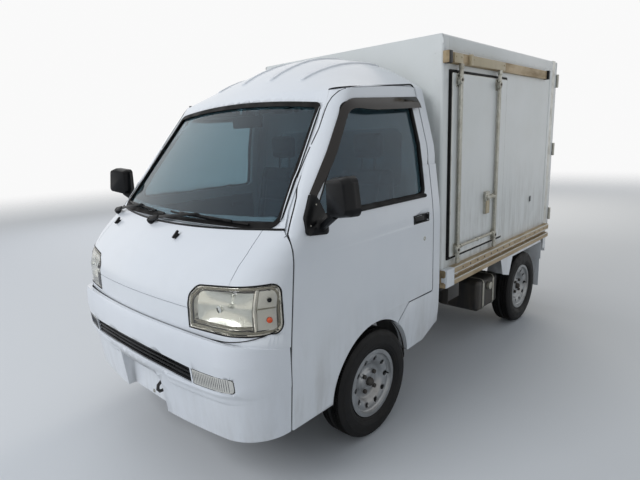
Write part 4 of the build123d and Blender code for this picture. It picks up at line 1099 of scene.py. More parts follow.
railOut = half + 0.036
railParts = []
for z in (0.6145, 0.6495, 0.6855):
    railParts.append(block("railLip", (railOut - 0.0045, front + 0.096, z - 0.0035),
                           (railOut + 0.0007, 1.560, z + 0.0035), 0.001))
for n in range(8):
    y = 0.02 + boxLook["boltPitch"] * n
    railParts.append(screwHead((half + 0.0098, y, 0.632), toLeft, 0.0095, 0.006, 6))
    railParts.append(turned("washer", ringProfile(0, 0.0012, 0.004, 0.0125),
                            (half + 0.0096, y, 0.632), toLeft, 20))
paired("railLips", railParts, trimMetal)
# Painted shade of the rail's holes: flat black discs laid on the rail
holeShadeParts = []
for n in range(15):
    y = 0.05 + 0.1 * n
    holeShadeParts.append(turned("railHole", ringProfile(0, 0.0008, 0.0002, 0.0062),
                            (railOut - 0.0001, y, 0.668), toLeft, 16))
paired("railHoles", holeShadeParts, blackPlastic)
endCap = block("railEnd", (half + 0.0005, front - 0.0055, boxLook["railLow"] - 0.0012),
               (railOut + 0.0012, front + 0.096, boxLook["railTop"] + 0.0012), 0.004, 3)
editFaces(endCap, lambda face: face.normal.x > 0.9)
bpy.ops.mesh.inset(thickness=0.012, depth=0)
bpy.ops.mesh.inset(thickness=0.004, depth=-0.004)
leaveEdit()
bothSides(endCap, "railEnd", bodyPaint)

# Upper rail: end cap, stop, and the plates that the side door hangs from
rail = boxLook["upperRail"]
capParts = [block("upperCap", (half + 0.001, front - 0.0035, rail - 0.0315),
                  (railOut + 0.0015, front + 0.034, rail + 0.0315), 0.003, 3),
            block("upperStop", (half + 0.001, 1.355, rail - 0.0315),
                  (railOut + 0.0015, 1.3795, rail + 0.0315), 0.003, 3)]
fitted("upperRailCaps", capParts, blackPlastic)
plateParts = []
for low, high in ((-0.108, -0.012), (0.098, 0.553)):
    plate = block("carriagePlate", (railOut - 0.002, low, rail - 0.0265),
                  (railOut + 0.0025, high, rail + 0.0205), 0.0015)
    plateParts.append(plate)
    plateParts.append(block("plateFlange", (half + 0.022, low, rail + 0.0165),
                            (railOut + 0.002, high, rail + 0.0215), 0.001))
    for y in (low + 0.018, high - 0.018):
        plateParts.append(screwHead((railOut + 0.0025, y, rail + 0.004), toLeft, 0.006, 0.004, 6))
plateParts.append(block("carriageLug", (railOut - 0.016, 0.085, rail - 0.030),
                        (railOut + 0.0035, 0.110, rail + 0.030), 0.003, 3))
hangerTan = sprayedEnamel("tanPaintedBracket",
                          {"colour": "#c9bb9d", "second": "#b8a988", "dirt": 0.3, "dirtFullZ": 1.6,
                           "dirtNoneZ": 2.2, "dirtColour": "#6f6047", "film": 0.4, "filmColour": "#a08f6f",
                           "coat": 0.05, "roughness": 0.5, "rust": 0.5, "rustMm": 18})
fitted("carriagePlates", plateParts, hangerTan)

# Side door: pivots, bar ends, collars, handle, hasp, and a rubber lip and a metal edge round it
faceX = half + 0.016
fitParts, darkParts = [], []
for y in (-0.015, 0.495):
    for z in (0.790, 1.733):
        fitParts.append(block("pivotPlate", (faceX - 0.0005, y - 0.030, z - 0.034),
                              (faceX + 0.0045, y + 0.022, z + 0.034), 0.0015))
        fitParts.append(turned("pivotDisc", [(0, 0.001), (0, 0.0215), (0.004, 0.0215), (0.006, 0.018),
                                             (0.006, 0.012), (0.003, 0.010), (0.003, 0.001)],
                               (faceX + 0.0265, y - 0.020, z), toLeft, 28))
        darkParts.append(turned("pivotBolt", [(0, 0.001), (0, 0.0075), (0.006, 0.007), (0.0065, 0.001)],
                                (faceX + 0.0295, y - 0.020, z), toLeft, 6))
        for dz in (-0.026, 0.026):
            darkParts.append(screwHead((faceX + 0.0042, y - 0.024, z + dz), toLeft, 0.004, 0.002, 12))
    for z in (0.720, 1.806):
        fitParts.append(block("barEnd", (faceX + 0.006, y - 0.018, z - 0.014),
                              (faceX + 0.0225, y + 0.018, z + 0.014), 0.003, 3))
for y in (0.02, 0.24, 0.46):
    fitParts.append(turned("tubeCollar", ringProfile(-0.008, 0.008, 0.008, 0.0125),
                           (faceX + 0.014, y, 0.803), toRear, 24))
fitted("doorBarFittings", fitParts, zincSteel)
fitted("doorBarBolts", darkParts, bareSteel)
handleParts = [block("handleFoot", (faceX + 0.0145, 0.333, 1.028), (faceX + 0.022, 0.386, 1.074), 0.003, 3),
               turned("handlePivot", [(0, 0.001), (0, 0.016), (0.006, 0.0165), (0.012, 0.013),
                                      (0.013, 0.001)], (faceX + 0.021, 0.362, 1.050), toLeft, 26),
               bar("handleLever", (faceX + 0.026, 0.362, 1.050), (faceX + 0.026, 0.470, 1.046),
                   (0.022, 0.016), 0.007, toLeft, 0.002),
               bar("handleCross", (faceX + 0.025, 0.338, 1.052), (faceX + 0.025, 0.388, 1.052),
                   (0.014, 0.014), 0.010, toLeft, 0.002)]
fitted("sideDoorHandle", handleParts, zincSteel)
hasp = block("handleHasp", (faceX + 0.0155, 0.346, 0.948), (faceX + 0.0195, 0.392, 1.032), 0.0025, 3)
editFaces(hasp, lambda face: face.normal.x > 0.9)
bpy.ops.mesh.inset(thickness=0.006, depth=0)
bpy.ops.mesh.inset(thickness=0.0015, depth=-0.0015)
leaveEdit()
finish(hasp, hangerTan, "root")

sealCorners = [((-0.091, 0.744), .012), ((-0.091, 1.779), .012), ((0.651, 1.779), .012),
               ((0.651, 0.744), .012)]
sideDoorLip = strip("sideDoorLip", [(half + 0.0085, p.x, p.y) for p in ringAlong(sealCorners)], 0.0042, True)
finish(sideDoorLip, rubberSeal, "root")
leafCorners = [((-0.0815, 0.7535), .006), ((-0.0815, 1.7695), .006), ((0.6415, 1.7695), .006),
               ((0.6415, 0.7535), .006)]
sideDoorEdge = strip("sideDoorEdge", [(faceX - 0.003, p.x, p.y) for p in ringAlong(leafCorners)], 0.0035,
                     True)
finish(sideDoorEdge, trimMetal, "root")

recess = turned("wallRecess", [(-0.0004, 0.0335), (0.0035, 0.0320), (0.0042, 0.0285), (0.0010, 0.0240),
                               (-0.0003, 0.0215), (-0.0003, 0.0335)], (half, 1.201, 0.937), toLeft, 36)
recessFlap = block("recessFlap", (half - 0.0002, 1.187, 0.917), (half + 0.0032, 1.215, 0.958), 0.0014, 3)
finish(recess, boxPaint, "root")
finish(recessFlap, greyPlastic, "root")
print("box dressed")

# Under the body: arch liners, spring bolts, dampers, tank straps, exhaust ends, flap fittings and a bracket
under = {"archY": -0.828, "archZ": 0.300, "linerRadius": 0.2925, "linerFrom": 0.500, "linerTo": 0.700,
         "linerGrowth": (0.052, 0.042, 0.034, 0.027, 0.0), "linerThick": 0.003, "axleY": 1.080,
         "gauge": 0.300}
liner = grid("archLiner", 24, len(under["linerGrowth"]) - 1)
for corner in liner.data.vertices:
    turn = math.radians(-14 + 208 * (corner.co.x + 0.5))
    row = round((corner.co.y + 0.5) * (len(under["linerGrowth"]) - 1))
    radius = under["linerRadius"] + under["linerGrowth"][row]
    x = under["linerFrom"] + (corner.co.y + 0.5) * (under["linerTo"] - under["linerFrom"])
    corner.co = (x, under["archY"] - radius * math.cos(turn),
                 under["archZ"] + radius * max(math.sin(turn), 0))
thickened(liner, under["linerThick"])
bothSides(liner, "archLiner", chassisPaint)

springParts = []
for n in (-1, 1):
    y = under["axleY"] + 0.030 * n
    for dx in (-0.033, 0.033):
        springParts.append(rod("uBolt", (under["gauge"] + dx, y, 0.222),
                               (under["gauge"] + dx, y, 0.352), 0.0055, 14))
        springParts.append(rod("uBoltNut", (under["gauge"] + dx, y, 0.219),
                               (under["gauge"] + dx, y, 0.229), 0.010, 6))
    springParts.append(rod("shackleBolt", (under["gauge"] - 0.034, under["axleY"] + 0.42 * n, 0.358),
                           (under["gauge"] + 0.034, under["axleY"] + 0.42 * n, 0.358), 0.009, 6))
springParts.append(block("uBoltPlate", (under["gauge"] - 0.045, under["axleY"] - 0.045, 0.229),
                         (under["gauge"] + 0.045, under["axleY"] + 0.045, 0.237), 0.002))
paired("springBolts", springParts, bareSteel)
foot, head = Vector((0.235, 1.155, 0.245)), Vector((0.240, 1.235, 0.430))
middle = foot.lerp(head, 0.5)
damperParts = [rod("damperBody", foot, middle.lerp(head, 0.25), 0.024, 24),
               rod("damperRod", middle, head, 0.010, 16),
               rod("damperCover", middle.lerp(head, 0.35), head, 0.028, 24),
               rod("damperEye", foot + Vector((-0.022, 0, 0)), foot + Vector((0.022, 0, 0)), 0.017, 20)]
paired("dampers", damperParts, chassisPaint)

tankParts = []
for y in (0.520, 0.680):
    ring = roundedPath([((0.3465, 0.2335), .03), ((0.3465, 0.4565), .03), ((0.6615, 0.4565), .03),
                        ((0.6615, 0.2335), .03)])
    tankParts.append(strip("tankStrap", [(p.x, y, p.y) for p in ring], 0.003, True))
    tankParts.append(bar("tankStrapFace", (0.6622, y, 0.262), (0.6622, y, 0.430), (0.026, 0.026), 0.0024,
                         toLeft, 0.0006))
tankParts.append(turned("tankCap", [(0, 0.001), (0, 0.026), (0.010, 0.028), (0.020, 0.027), (0.022, 0.020),
                                    (0.022, 0.001)], (0.6585, 0.600, 0.395), toLeft, 30))
fitted("tankStraps", tankParts, zincSteel)
exhaustParts = [rod("tailPipe", (-0.225, 1.450, 0.336), (-0.290, 1.450, 0.330), 0.019, 24, 0.001),
                rod("tailPipeEnd", (-0.288, 1.450, 0.330), (-0.335, 1.470, 0.318), 0.0195, 24, 0.001)]
for x in (-0.165, 0.165):
    exhaustParts.append(turned("muffleBand", ringProfile(-0.012, 0.012, 0.0595, 0.0625),
                               (x, 1.450, 0.336), toLeft, 40))
    exhaustParts.append(rod("muffleHanger", (x, 1.450, 0.396), (x, 1.450, 0.440), 0.006, 12))
fitted("exhaustEnds", exhaustParts, exhaustSteel)
flapParts = [screwHead((x, 1.4425, z), toRear, 0.007, 0.003, 6) for x in (0.585, 0.640, 0.700)
             for z in (0.440, 0.462)]
flapParts.append(block("flapClamp", (0.572, 1.4365, 0.434), (0.716, 1.4405, 0.468), 0.001))
paired("flapFittings", flapParts, zincSteel)
bracket = block("stepBracket", (0.640, -0.064, 0.455), (0.699, -0.058, 0.590), 0.002)
bracketFoot = block("stepFoot", (0.640, -0.064, 0.584), (0.699, 0.088, 0.590), 0.002)
finish(joined("boxBracket", bracket, bracketFoot,
              block("bracketFace", (0.694, -0.064, 0.470), (0.699, 0.080, 0.590), 0.002)), chassisPaint,
       "root")
print("underside dressed")

# Rear: hinge pins, lock gear, door gaskets and frames, lamp lenses, plate lamp and apron bolts
rearLook = {"y": 1.655, "hingeX": 0.705, "hingeY": 1.662, "hinges": (0.760, 1.290, 1.820),
            "bars": (0.090, 0.480), "lampY": 1.674}
hingeParts = []
for z in rearLook["hinges"]:
    pin = turned("hingePin", [(-0.050, 0.001), (-0.050, 0.006), (-0.046, 0.0095), (0.046, 0.0095),
                              (0.050, 0.006), (0.050, 0.001)],
                 (rearLook["hingeX"], rearLook["hingeY"], z), toTop, 24)
    hingeParts.append(pin)
    for step in (-0.016, 0.016):
        hingeParts.append(turned("hingeKnuckle", ringProfile(-0.001, 0.001, 0.0085, 0.0104),
                                 (rearLook["hingeX"], rearLook["hingeY"], z + step), toTop, 24))
    for x in (0.610, 0.640, 0.670):
        for dz in (-0.012, 0.012):
            hingeParts.append(screwHead((x, rearLook["y"] + 0.005, z + dz), toRear, 0.0045, 0.003, 14))
rearBodies = ("rear_door_left", "rear_door_right")
paired("rearHinges", hingeParts, zincSteel, rearBodies)
lockParts = []
for x in rearLook["bars"]:
    for z in (0.700, 1.000, 1.600, 1.880):
        lockParts.append(turned("barClip", ringProfile(-0.013, 0.013, 0.0095, 0.0117),
                                (x, rearLook["y"] + 0.015, z), toTop, 24))
        for dx in (-0.019, 0.019):
            lockParts.append(screwHead((x + dx, rearLook["y"] + 0.0245, z), toRear, 0.0045, 0.0015, 14))
    for z, sign in ((0.668, -1), (1.914, 1)):
        lockParts.append(bar("barCam", (x, rearLook["y"] + 0.015, z),
                             (x - 0.026, rearLook["y"] + 0.013, z + 0.012 * sign), (0.020, 0.014), 0.011,
                             toRear, 0.002))
    grip = [(x, rearLook["y"] + 0.017, 1.180), (x - 0.012, rearLook["y"] + 0.0185, 1.180),
            (x - 0.020, rearLook["y"] + 0.0195, 1.130), (x - 0.020, rearLook["y"] + 0.0195, 1.010)]
    lockParts.append(strip("barHandle", grip, 0.0065))
    lockParts.append(block("handleCatch", (x - 0.034, rearLook["y"] - 0.0005, 1.040),
                           (x - 0.008, rearLook["y"] + 0.018, 1.066), 0.002))
paired("rearLocks", lockParts, zincSteel, rearBodies)
doorCorners = [((0.0065, 0.629), .008), ((0.0065, 1.9545), .008), ((0.6945, 1.9545), .008),
               ((0.6945, 0.629), .008)]
gasketLine = [(p.x, rearLook["y"] - 0.0012, p.y) for p in ringAlong(doorCorners)]
bothSides(strip("rearDoorGasket", gasketLine, 0.0038, True), "rearDoorGasket", rubberSeal, rearBodies)
doorPanel = []
for x in (0.020, 0.680):
    doorPanel.append(block("doorFrameBar", (x - 0.012, rearLook["y"] - 0.0005, 0.640),
                           (x + 0.012, rearLook["y"] + 0.0016, 1.944), 0.0006))
for z in (0.652, 1.932):
    doorPanel.append(block("doorFrameRail", (0.032, rearLook["y"] - 0.0005, z - 0.012),
                           (0.668, rearLook["y"] + 0.0016, z + 0.012), 0.0006))
paired("rearDoorFrame", doorPanel, trimMetal, rearBodies)

# Tail lamps: three lenses in a frame; the plate lamp and the apron's bolts follow
lampY = rearLook["lampY"]
clearRed = mouldedPlastic("redReflexLens", {"colour": "#a5180f", "faded": "#8c140e", "roughness": 0.08,
                                            "bump": 0.0, "fade": 0.3})
amberLens = mouldedPlastic("amberIndicatorLens",
                           {"colour": "#cf6a12", "faded": "#b85c10", "roughness": 0.08,
                            "bump": 0.0, "fade": 0.3})
whiteLens = mouldedPlastic("clearReverseLens",
                           {"colour": "#dcdcd6", "faded": "#c9c9c2", "roughness": 0.08,
                            "bump": 0.0, "fade": 0.3})


def lensBlock(name, lowX, highX, material):
    lens = block(name, (lowX, lampY - 0.004, 0.4975), (highX, lampY - 0.0002, 0.5745), 0.003, 3)
    ribs = [block("lensRib", (lowX + 0.004 + 0.006 * n, lampY - 0.001, 0.5015),
                  (lowX + 0.0065 + 0.006 * n, lampY + 0.0004, 0.5705), 0.0005)
            for n in range(int((highX - lowX - 0.006) / 0.006))]
    bothSides(joined(name, lens, *ribs), name, material)


lensBlock("stopLens", 0.583, 0.662, clearRed)
lensBlock("turnLens", 0.532, 0.581, amberLens)
lensBlock("reverseLens", 0.480, 0.530, whiteLens)
frameParts = [block("lampFrame", (0.472, lampY - 0.012, z - 0.0035), (0.670, lampY + 0.0008, z + 0.0035),
                    0.0015) for z in (0.4935, 0.5785)]
frameParts += [block("lampFrame", (x - 0.0035, lampY - 0.012, 0.4905), (x + 0.0035, lampY + 0.0008, 0.5815),
                     0.0015) for x in (0.4755, 0.6665)]
paired("tailLampFrame", frameParts, blackPlastic)
plateParts = [block("plateLampBody", (-0.045, 1.640, 0.566), (0.045, 1.664, 0.588), 0.004, 3),
              block("plateLampHood", (-0.050, 1.640, 0.584), (0.050, 1.668, 0.592), 0.002)]
fitted("plateLamp", plateParts, blackPlastic)
apronParts = [screwHead((x, 1.6402, z), toRear, 0.007, 0.004, 6)
              for x in (-0.640, -0.380, -0.200, 0.200, 0.380, 0.640) for z in (0.462, 0.592)]
fitted("apronBolts", apronParts, zincSteel)
print("rear dressed")

# Seats: each pad is remeshed and blown up as cloth, then seamed, piped and set on its frame
seat = {"cushion": ((0.124, -0.998, 0.652), (0.566, -0.514, 0.744)),
        "backLow": (0.128, 0.562, -0.519, -0.432, 0.742), "backHigh": (0.158, 0.532, -0.394, -0.332, 1.284),
        "head": ((0.250, -0.388, 1.334), (0.440, -0.324, 1.472)), "voxel": 0.010, "pressure": 4.0,
        "swell": 0.013, "seamDepth": 0.008, "seamWidth": 0.009}


def stuffed(piece, swell, lowest=None):
    makeActive(piece)
    remesh = piece.modifiers.new("evenMesh", "REMESH")
    remesh.mode, remesh.voxel_size = "VOXEL", seat["voxel"]
    bpy.ops.object.modifier_apply(modifier="evenMesh")
    rest = [corner.co.copy() for corner in piece.data.vertices]
    cloth = piece.modifiers.new("stuffing", "CLOTH")
    cloth.settings.use_pressure = True
    cloth.settings.uniform_pressure_force = seat["pressure"]
    cloth.settings.effector_weights.gravity = 0
    cloth.point_cache.frame_start, cloth.point_cache.frame_end = 1, 20
    for frameNumber in range(1, 21):
        bpy.context.scene.frame_set(frameNumber)
    makeActive(piece)
    bpy.ops.object.modifier_apply(modifier="stuffing")
    bpy.context.scene.frame_set(1)
    for corner, start in zip(piece.data.vertices, rest):
        shift = corner.co - start
        if shift.length > swell:
            corner.co = start + shift.normalized() * swell
    if lowest is not None:
        for corner in piece.data.vertices:
            corner.co.z = max(corner.co.z, lowest)
    smoother = piece.modifiers.new("finer", "SUBSURF")
    smoother.levels = smoother.render_levels = 1
    makeActive(piece)
    bpy.ops.object.modifier_apply(modifier="finer")
    return piece


def pressSeams(piece, seams):
    # Columns: axis across the seam, its place, axis that the channel faces, sign of that way
    pushes = []
    for corner in piece.data.vertices:
        push = 0
        for across, place, facing, sign in seams:
            facingShare = max(0, sign * corner.normal[facing])
            push = max(push, facingShare * math.exp(-((corner.co[across] - place) / seat["seamWidth"]) ** 2))
        pushes.append(corner.normal * push * seat["seamDepth"])
    for corner, push in zip(piece.data.vertices, pushes):
        corner.co -= push


def piping(name, piece, ring, radius=0.0028):
    spots = []
    for spot in ring:
        place, normal = piece.closest_point_on_mesh(spot)[1:3]
        spots.append(place + normal * radius * 0.4)
    return strip(name, spots, radius, True)


cushion = stuffed(block("seatCushion", *seat["cushion"], 0.028, 4), seat["swell"], 0.647)
pressSeams(cushion, [(0, 0.225, 2, 1), (0, 0.465, 2, 1), (1, -0.640, 2, 1), (1, -0.860, 2, 1)])
cushionCorners = [((0.112, -1.008), .03), ((0.578, -1.008), .03), ((0.578, -0.504), .03),
                  ((0.112, -0.504), .03)]
cushionLine = [Vector((p.x, p.y, 0.752)) for p in ringAlong(cushionCorners, 0.02)]
cushionPipe = piping("cushionPipe", cushion, cushionLine)
lowX, highX, lowY, highY, backZ = seat["backLow"]
seatBack = block("seatBack", (lowX, lowY, backZ), (highX, highY, seat["backHigh"][4]), 0)
for corner in seatBack.data.vertices:
    if corner.co.z > 1.0:
        left, right, near, far, top = seat["backHigh"]
        corner.co = (left if corner.co.x < 0.34 else right, near if corner.co.y < -0.47 else far, top)
bevelEdges(seatBack, 0.026, 4)
seatBack = stuffed(seatBack, seat["swell"])
pressSeams(seatBack, [(0, 0.232, 1, -1), (0, 0.458, 1, -1), (2, 0.930, 1, -1), (2, 1.070, 1, -1),
                      (2, 1.200, 1, -1)])
backRing = densePath([Vector((0.122, 0.75)), Vector((0.150, 1.285)), Vector((0.180, 1.300)),
                      Vector((0.510, 1.300)), Vector((0.540, 1.285)), Vector((0.568, 0.75)),
                      Vector((0.540, 0.738)), Vector((0.150, 0.738)), Vector((0.122, 0.75))], 0.02)[:-1]
backPipe = piping("backPipe", seatBack, [Vector((p.x, -0.525 + (p.y - 0.73) * 0.228, p.y)) for p in backRing])
headRest = stuffed(block("headRest", *seat["head"], 0.026, 4), 0.009)
pressSeams(headRest, [(2, 1.372, 1, -1)])
pads = ((cushion, "seatCushion", 0.85), (seatBack, "seatBack", 0.8), (headRest, "headRest", 0.85))
for piece, name, fill in pads:
    for twin in bothSides(piece, name, seatCloth, smooth=60):
        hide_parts("seats")
pipeVinyl = mouldedPlastic("seatPipingVinyl", {"colour": "#2b2c2b", "faded": "#3a3a38", "roughness": 0.5,
                                               "grainMm": 1.0})
bothSides(joined("seatPiping", cushionPipe, backPipe), "seatPiping", pipeVinyl)
seatSteel = [rod("headPost", (x, -0.360, 1.270), (x, -0.354, 1.345), 0.0055, 16) for x in (0.300, 0.390)]
seatSteel += [block("seatRunner", (x - 0.014, -0.980, 0.6455), (x + 0.014, -0.540, 0.658), 0.002)
              for x in (0.165, 0.525)]
seatSteel += [bar("reclineHinge", (x, -0.500, 0.690), (x, -0.452, 0.850), (0.055, 0.035), 0.006, toLeft,
                  0.002) for x in (0.1155, 0.5745)]
seatSteel.append(bar("reclineLever", (0.5795, -0.492, 0.705), (0.5795, -0.600, 0.700), (0.020, 0.016), 0.007,
                     toLeft, 0.002))
paired("seatFrame", seatSteel, chassisPaint)
print("seats stuffed")

# Cab inside: binnacle, vents, radio blank, column, levers, mirror, sun visors and door trim
cabin = {"hub": (-0.340, -1.085, 1.000), "columnAngle": 52, "dialY": -1.2965, "dialZ": 1.083,
         "dials": ((-0.395, 0.026), (-0.290, 0.026), (-0.342, 0.012)),
         "vents": (-0.560, -0.135, 0.135, 0.560), "gearFoot": (-0.045, -1.060), "brakeX": -0.020,
         "sunVisor": (0.09, 0.46), "dashY": -1.2030}
wheelHub = Vector(cabin["hub"])
columnTurn = math.radians(cabin["columnAngle"])
columnWay = Vector((0, math.cos(columnTurn), math.sin(columnTurn)))
hornPad = turned("hornPad", [(-0.004, 0.001), (-0.004, 0.070), (0.006, 0.072), (0.018, 0.064), (0.024, 0.045),
                             (0.026, 0.001)], wheelHub, columnWay, 36)
spokeCovers = []
for angle in (-150, -30, 90):
    turn = math.radians(angle)
    sideways, forward = Vector(toLeft), columnWay.cross(Vector(toLeft))
    way = sideways * math.cos(turn) + forward * math.sin(turn)
    spokeCovers.append(bar("spokeCover", wheelHub + way * 0.045 + columnWay * 0.008,
                           wheelHub + way * 0.168 + columnWay * 0.003, (0.044, 0.026), 0.011,
                           columnWay, 0.004))
finish(joined("steeringPad", hornPad, *spokeCovers), blackPlastic, "steering_wheel", 40)
shroud = turned("columnShroud", [(-0.230, 0.033), (-0.225, 0.046), (-0.120, 0.054), (-0.060, 0.056),
                                 (-0.050, 0.050), (-0.050, 0.033)], wheelHub, columnWay, 32)
stalks = []
for sign in (-1, 1):
    root = wheelHub - columnWay * 0.085 + Vector((0.045 * sign, 0, 0))
    stalks.append(rod("stalk", root, root + Vector((0.095 * sign, 0.012, 0.010)), 0.006, 14, 0.001, 0.005))
    stalks.append(rod("stalkEnd", root + Vector((0.090 * sign, 0.012, 0.010)),
                      root + Vector((0.125 * sign, 0.016, 0.014)), 0.0085, 14, 0.003, 0.007))
finish(joined("columnDress", shroud, *stalks), blackPlastic, "root", 40)
binnacle = block("binnacle", (-0.485, -1.338, 1.040), (-0.195, -1.275, 1.112), 0.018, 4)
editFaces(binnacle, lambda face: face.normal.y > 0.9 and face.calc_area() > 0.004)
bpy.ops.mesh.inset(thickness=0.012, depth=0)
bpy.ops.mesh.inset(thickness=0.003, depth=-0.022)
leaveEdit()
padTop = strip("dashPad", [Vector((x, -1.318, 1.0585)) for x in (-0.600, -0.3, 0, 0.3, 0.600)],
               0.012, sides=4)
finish(joined("binnacle", binnacle, padTop), greyPlastic, "root", 40)
dials, needles = [], []
for x, radius in cabin["dials"]:
    dialY, dialZ = cabin["dialY"], cabin["dialZ"]
    spot = (x, dialY, dialZ)
    dials.append(turned("dialRing", [(0, radius), (0.006, radius), (0.006, radius - 0.0025),
                                     (0, radius - 0.0025)], spot, toRear, 32))
    dials.append(turned("dialFace", ringProfile(0, 0.001, 0.0005, radius - 0.002), spot, toRear, 32))
    needles.append(bar("needle", (x, dialY + 0.0025, dialZ),
                       (x - radius * 0.6, dialY + 0.0025, dialZ - radius * 0.35), (0.002, 0.0008),
                       0.001, toRear, 0))
    for n in range(9):
        turn = math.radians(210 - 30 * n)
        way = Vector((math.cos(turn), 0, math.sin(turn)))
        middle = Vector((x, dialY + 0.002, dialZ))
        needles.append(bar("dialMark", middle + way * radius * 0.74, middle + way * radius * 0.88,
                           (0.0012, 0.0012), 0.0006, toRear, 0))
fitted("dials", dials, blackPlastic)
fitted("dialMarks", needles, whiteLens)
ventParts = []
for x in cabin["vents"]:
    ventParts.append(block("ventFrame", (x - 0.052, -1.2165, 0.945), (x + 0.052, -1.2045, 0.998), 0.004, 3))
    for n in range(5):
        ventParts.append(block("ventSlat", (x - 0.045, -1.2065, 0.952 + 0.009 * n),
                               (x + 0.045, -1.2015, 0.9545 + 0.009 * n), 0.0008))
    ventParts.append(block("ventTab", (x - 0.004, -1.2045, 0.962), (x + 0.004, -1.1985, 0.980), 0.001))
radioParts = [block("radioPlate", (-0.092, -1.2145, 0.878), (0.092, -1.2025, 0.936), 0.003)]
for x in (-0.074, 0.074):
    radioParts.append(turned("radioKnob", [(0, 0.001), (0, 0.010), (0.011, 0.009), (0.012, 0.001)],
                             (x, cabin["dashY"], 0.907), toRear, 24))
for n in range(6):
    radioParts.append(block("radioKey", (-0.054 + 0.0185 * n, cabin["dashY"], 0.886),
                            (-0.040 + 0.0185 * n, -1.1995, 0.896), 0.001))
radioParts.append(block("radioSlot", (-0.050, cabin["dashY"], 0.908), (0.050, -1.2012, 0.914), 0.0006))
heater = [block("heaterPlate", (-0.092, -1.2175, 0.862), (0.092, -1.2055, 0.874), 0.002)]
heater += [block("heaterTab", (x, -1.2065, 0.864), (x + 0.012, -1.1965, 0.872), 0.001)
           for x in (-0.060, 0.0, 0.050)]
finish(joined("dashFittings", *ventParts, *radioParts, *heater), blackPlastic, "root")
boot = turned("leverBoot", [(0, 0.001), (0, 0.055), (0.006, 0.054), (0.010, 0.040), (0.016, 0.044),
                            (0.022, 0.032), (0.028, 0.035), (0.036, 0.020), (0.050, 0.014), (0.050, 0.001)],
              (*cabin["gearFoot"], 0.6455), toTop, 32)
finish(boot, rubberSeal, "root", 50)
leverParts = [rod("gearLever", (*cabin["gearFoot"], 0.690), (-0.050, -1.020, 0.865), 0.006, 16),
              rod("brakeLever", (cabin["brakeX"], -0.900, 0.690),
                  (cabin["brakeX"], -0.690, 0.750), 0.009, 16)]
fitted("levers", leverParts, zincSteel)
knobProfile = [(-0.022, 0.001), (-0.022, 0.012), (-0.010, 0.020), (0.006, 0.024), (0.020, 0.018),
               (0.026, 0.001)]
knobParts = [turned("gearKnob", knobProfile, (-0.0505, -1.016, 0.884), (0, 0.2, 1), 28)]
knobParts.append(rod("brakeGrip", (cabin["brakeX"], -0.780, 0.7243), (cabin["brakeX"], -0.640, 0.7643),
                     0.0135, 20, 0.004))
knobParts.append(block("brakeBase", (-0.045, -0.960, 0.6455), (0.005, -0.860, 0.705), 0.008, 3))
fitted("knobs", knobParts, blackPlastic, 40)
mirrorParts = [block("roomMirror", (-0.115, -0.9330, 1.520), (0.115, -0.9130, 1.580), 0.009, 4),
               rod("roomMirrorArm", (0, -0.926, 1.575), (0, -0.900, 1.650), 0.006, 14)]
fitted("roomMirror", mirrorParts, blackPlastic, 40)
roomGlass = block("roomMirrorGlass", (-0.106, -0.9135, 1.528), (0.106, -0.9120, 1.572), 0.0006)
mirrorSilver = mouldedPlastic("silveredMirrorGlass",
                              {"colour": "#dfe3e4", "faded": "#d2d6d8", "roughness": 0.04, "bump": 0.0,
                               "metallic": 1.0, "fade": 0.3})
finish(roomGlass, mirrorSilver, "root")
for side, sign in (("Left", 1), ("Right", -1)):
    inner, outer = sorted(sign * x for x in cabin["sunVisor"])
    board = block("sunVisor" + side, (inner, -0.918, 1.586), (outer, -0.792, 1.602), 0.006, 3)
    finish(board, greyPlastic, "root", 40)

cardParts = [block("doorCard", (0.6755, -1.190, 0.700), (0.6862, -0.372, 1.090), 0.004, 3),
             block("armRest", (0.6330, -0.860, 0.905), (0.6770, -0.520, 0.940), 0.012, 4),
             block("doorPocket", (0.6500, -1.120, 0.720), (0.6770, -0.640, 0.800), 0.008, 3)]
paired("doorCard", cardParts, greyPlastic, doorBodies, 40)
hubProfile = [(0, 0.001), (0, 0.019), (0.010, 0.018), (0.013, 0.012), (0.013, 0.001)]
winder = [turned("winderHub", hubProfile, (0.6755, -0.960, 0.985), (-1, 0, 0), 26),
          bar("winderArm", (0.662, -0.960, 0.985), (0.660, -0.905, 0.935), (0.020, 0.014), 0.006, toLeft,
              0.002), rod("winderKnob", (0.660, -0.903, 0.933), (0.636, -0.903, 0.933), 0.009, 20),
          block("innerLatch", (0.668, -0.560, 1.010), (0.6765, -0.460, 1.044), 0.004, 3)]
paired("doorWinder", winder, blackPlastic, doorBodies, 40)

# Moulding along the foot of the windscreen
cowlLine = []
for n in range(57):
    x = 0.672 * (n - 28) / 28
    z = 1.1005 + 0.018 * (x / 0.65) ** 2
    cowlLine.append(onNose(x, z, 0.0005))
finish(strip("cowlMoulding", cowlLine, 0.0052), blackPlastic, "root")
print("cab inside dressed")

# Floor and backdrop: pale, seen as white, and fading out far from the truck
deselectAll()
bpy.ops.mesh.primitive_plane_add(size=40, location=(0, 0, 0))
floor = named(bpy.context.object, "studioFloor")
floorMaterial, floorTree = newMaterial("paleStudioFloor")
floorCoords = addNode(floorTree, "TexCoord").outputs["Object"]
floorDistance = addNode(floorTree, "VectorMath", {0: floorCoords}, operation="LENGTH").outputs["Value"]
floorFade = addNode(floorTree, "MapRange", {"Value": floorDistance, "From Min": 6.0, "From Max": 16.0},
                    interpolation_type="SMOOTHSTEP").outputs[0]
floorDiffuse = addNode(floorTree, "BsdfDiffuse", {"Color": hexColour("#d9dad9")})
floorClear = addNode(floorTree, "BsdfTransparent")
floorMix = addNode(floorTree, "MixShader", {0: floorFade, 1: floorDiffuse.outputs[0],
                                            2: floorClear.outputs[0]})
closeMaterial(floorTree, floorMix)
floor.data.materials.append(floorMaterial)

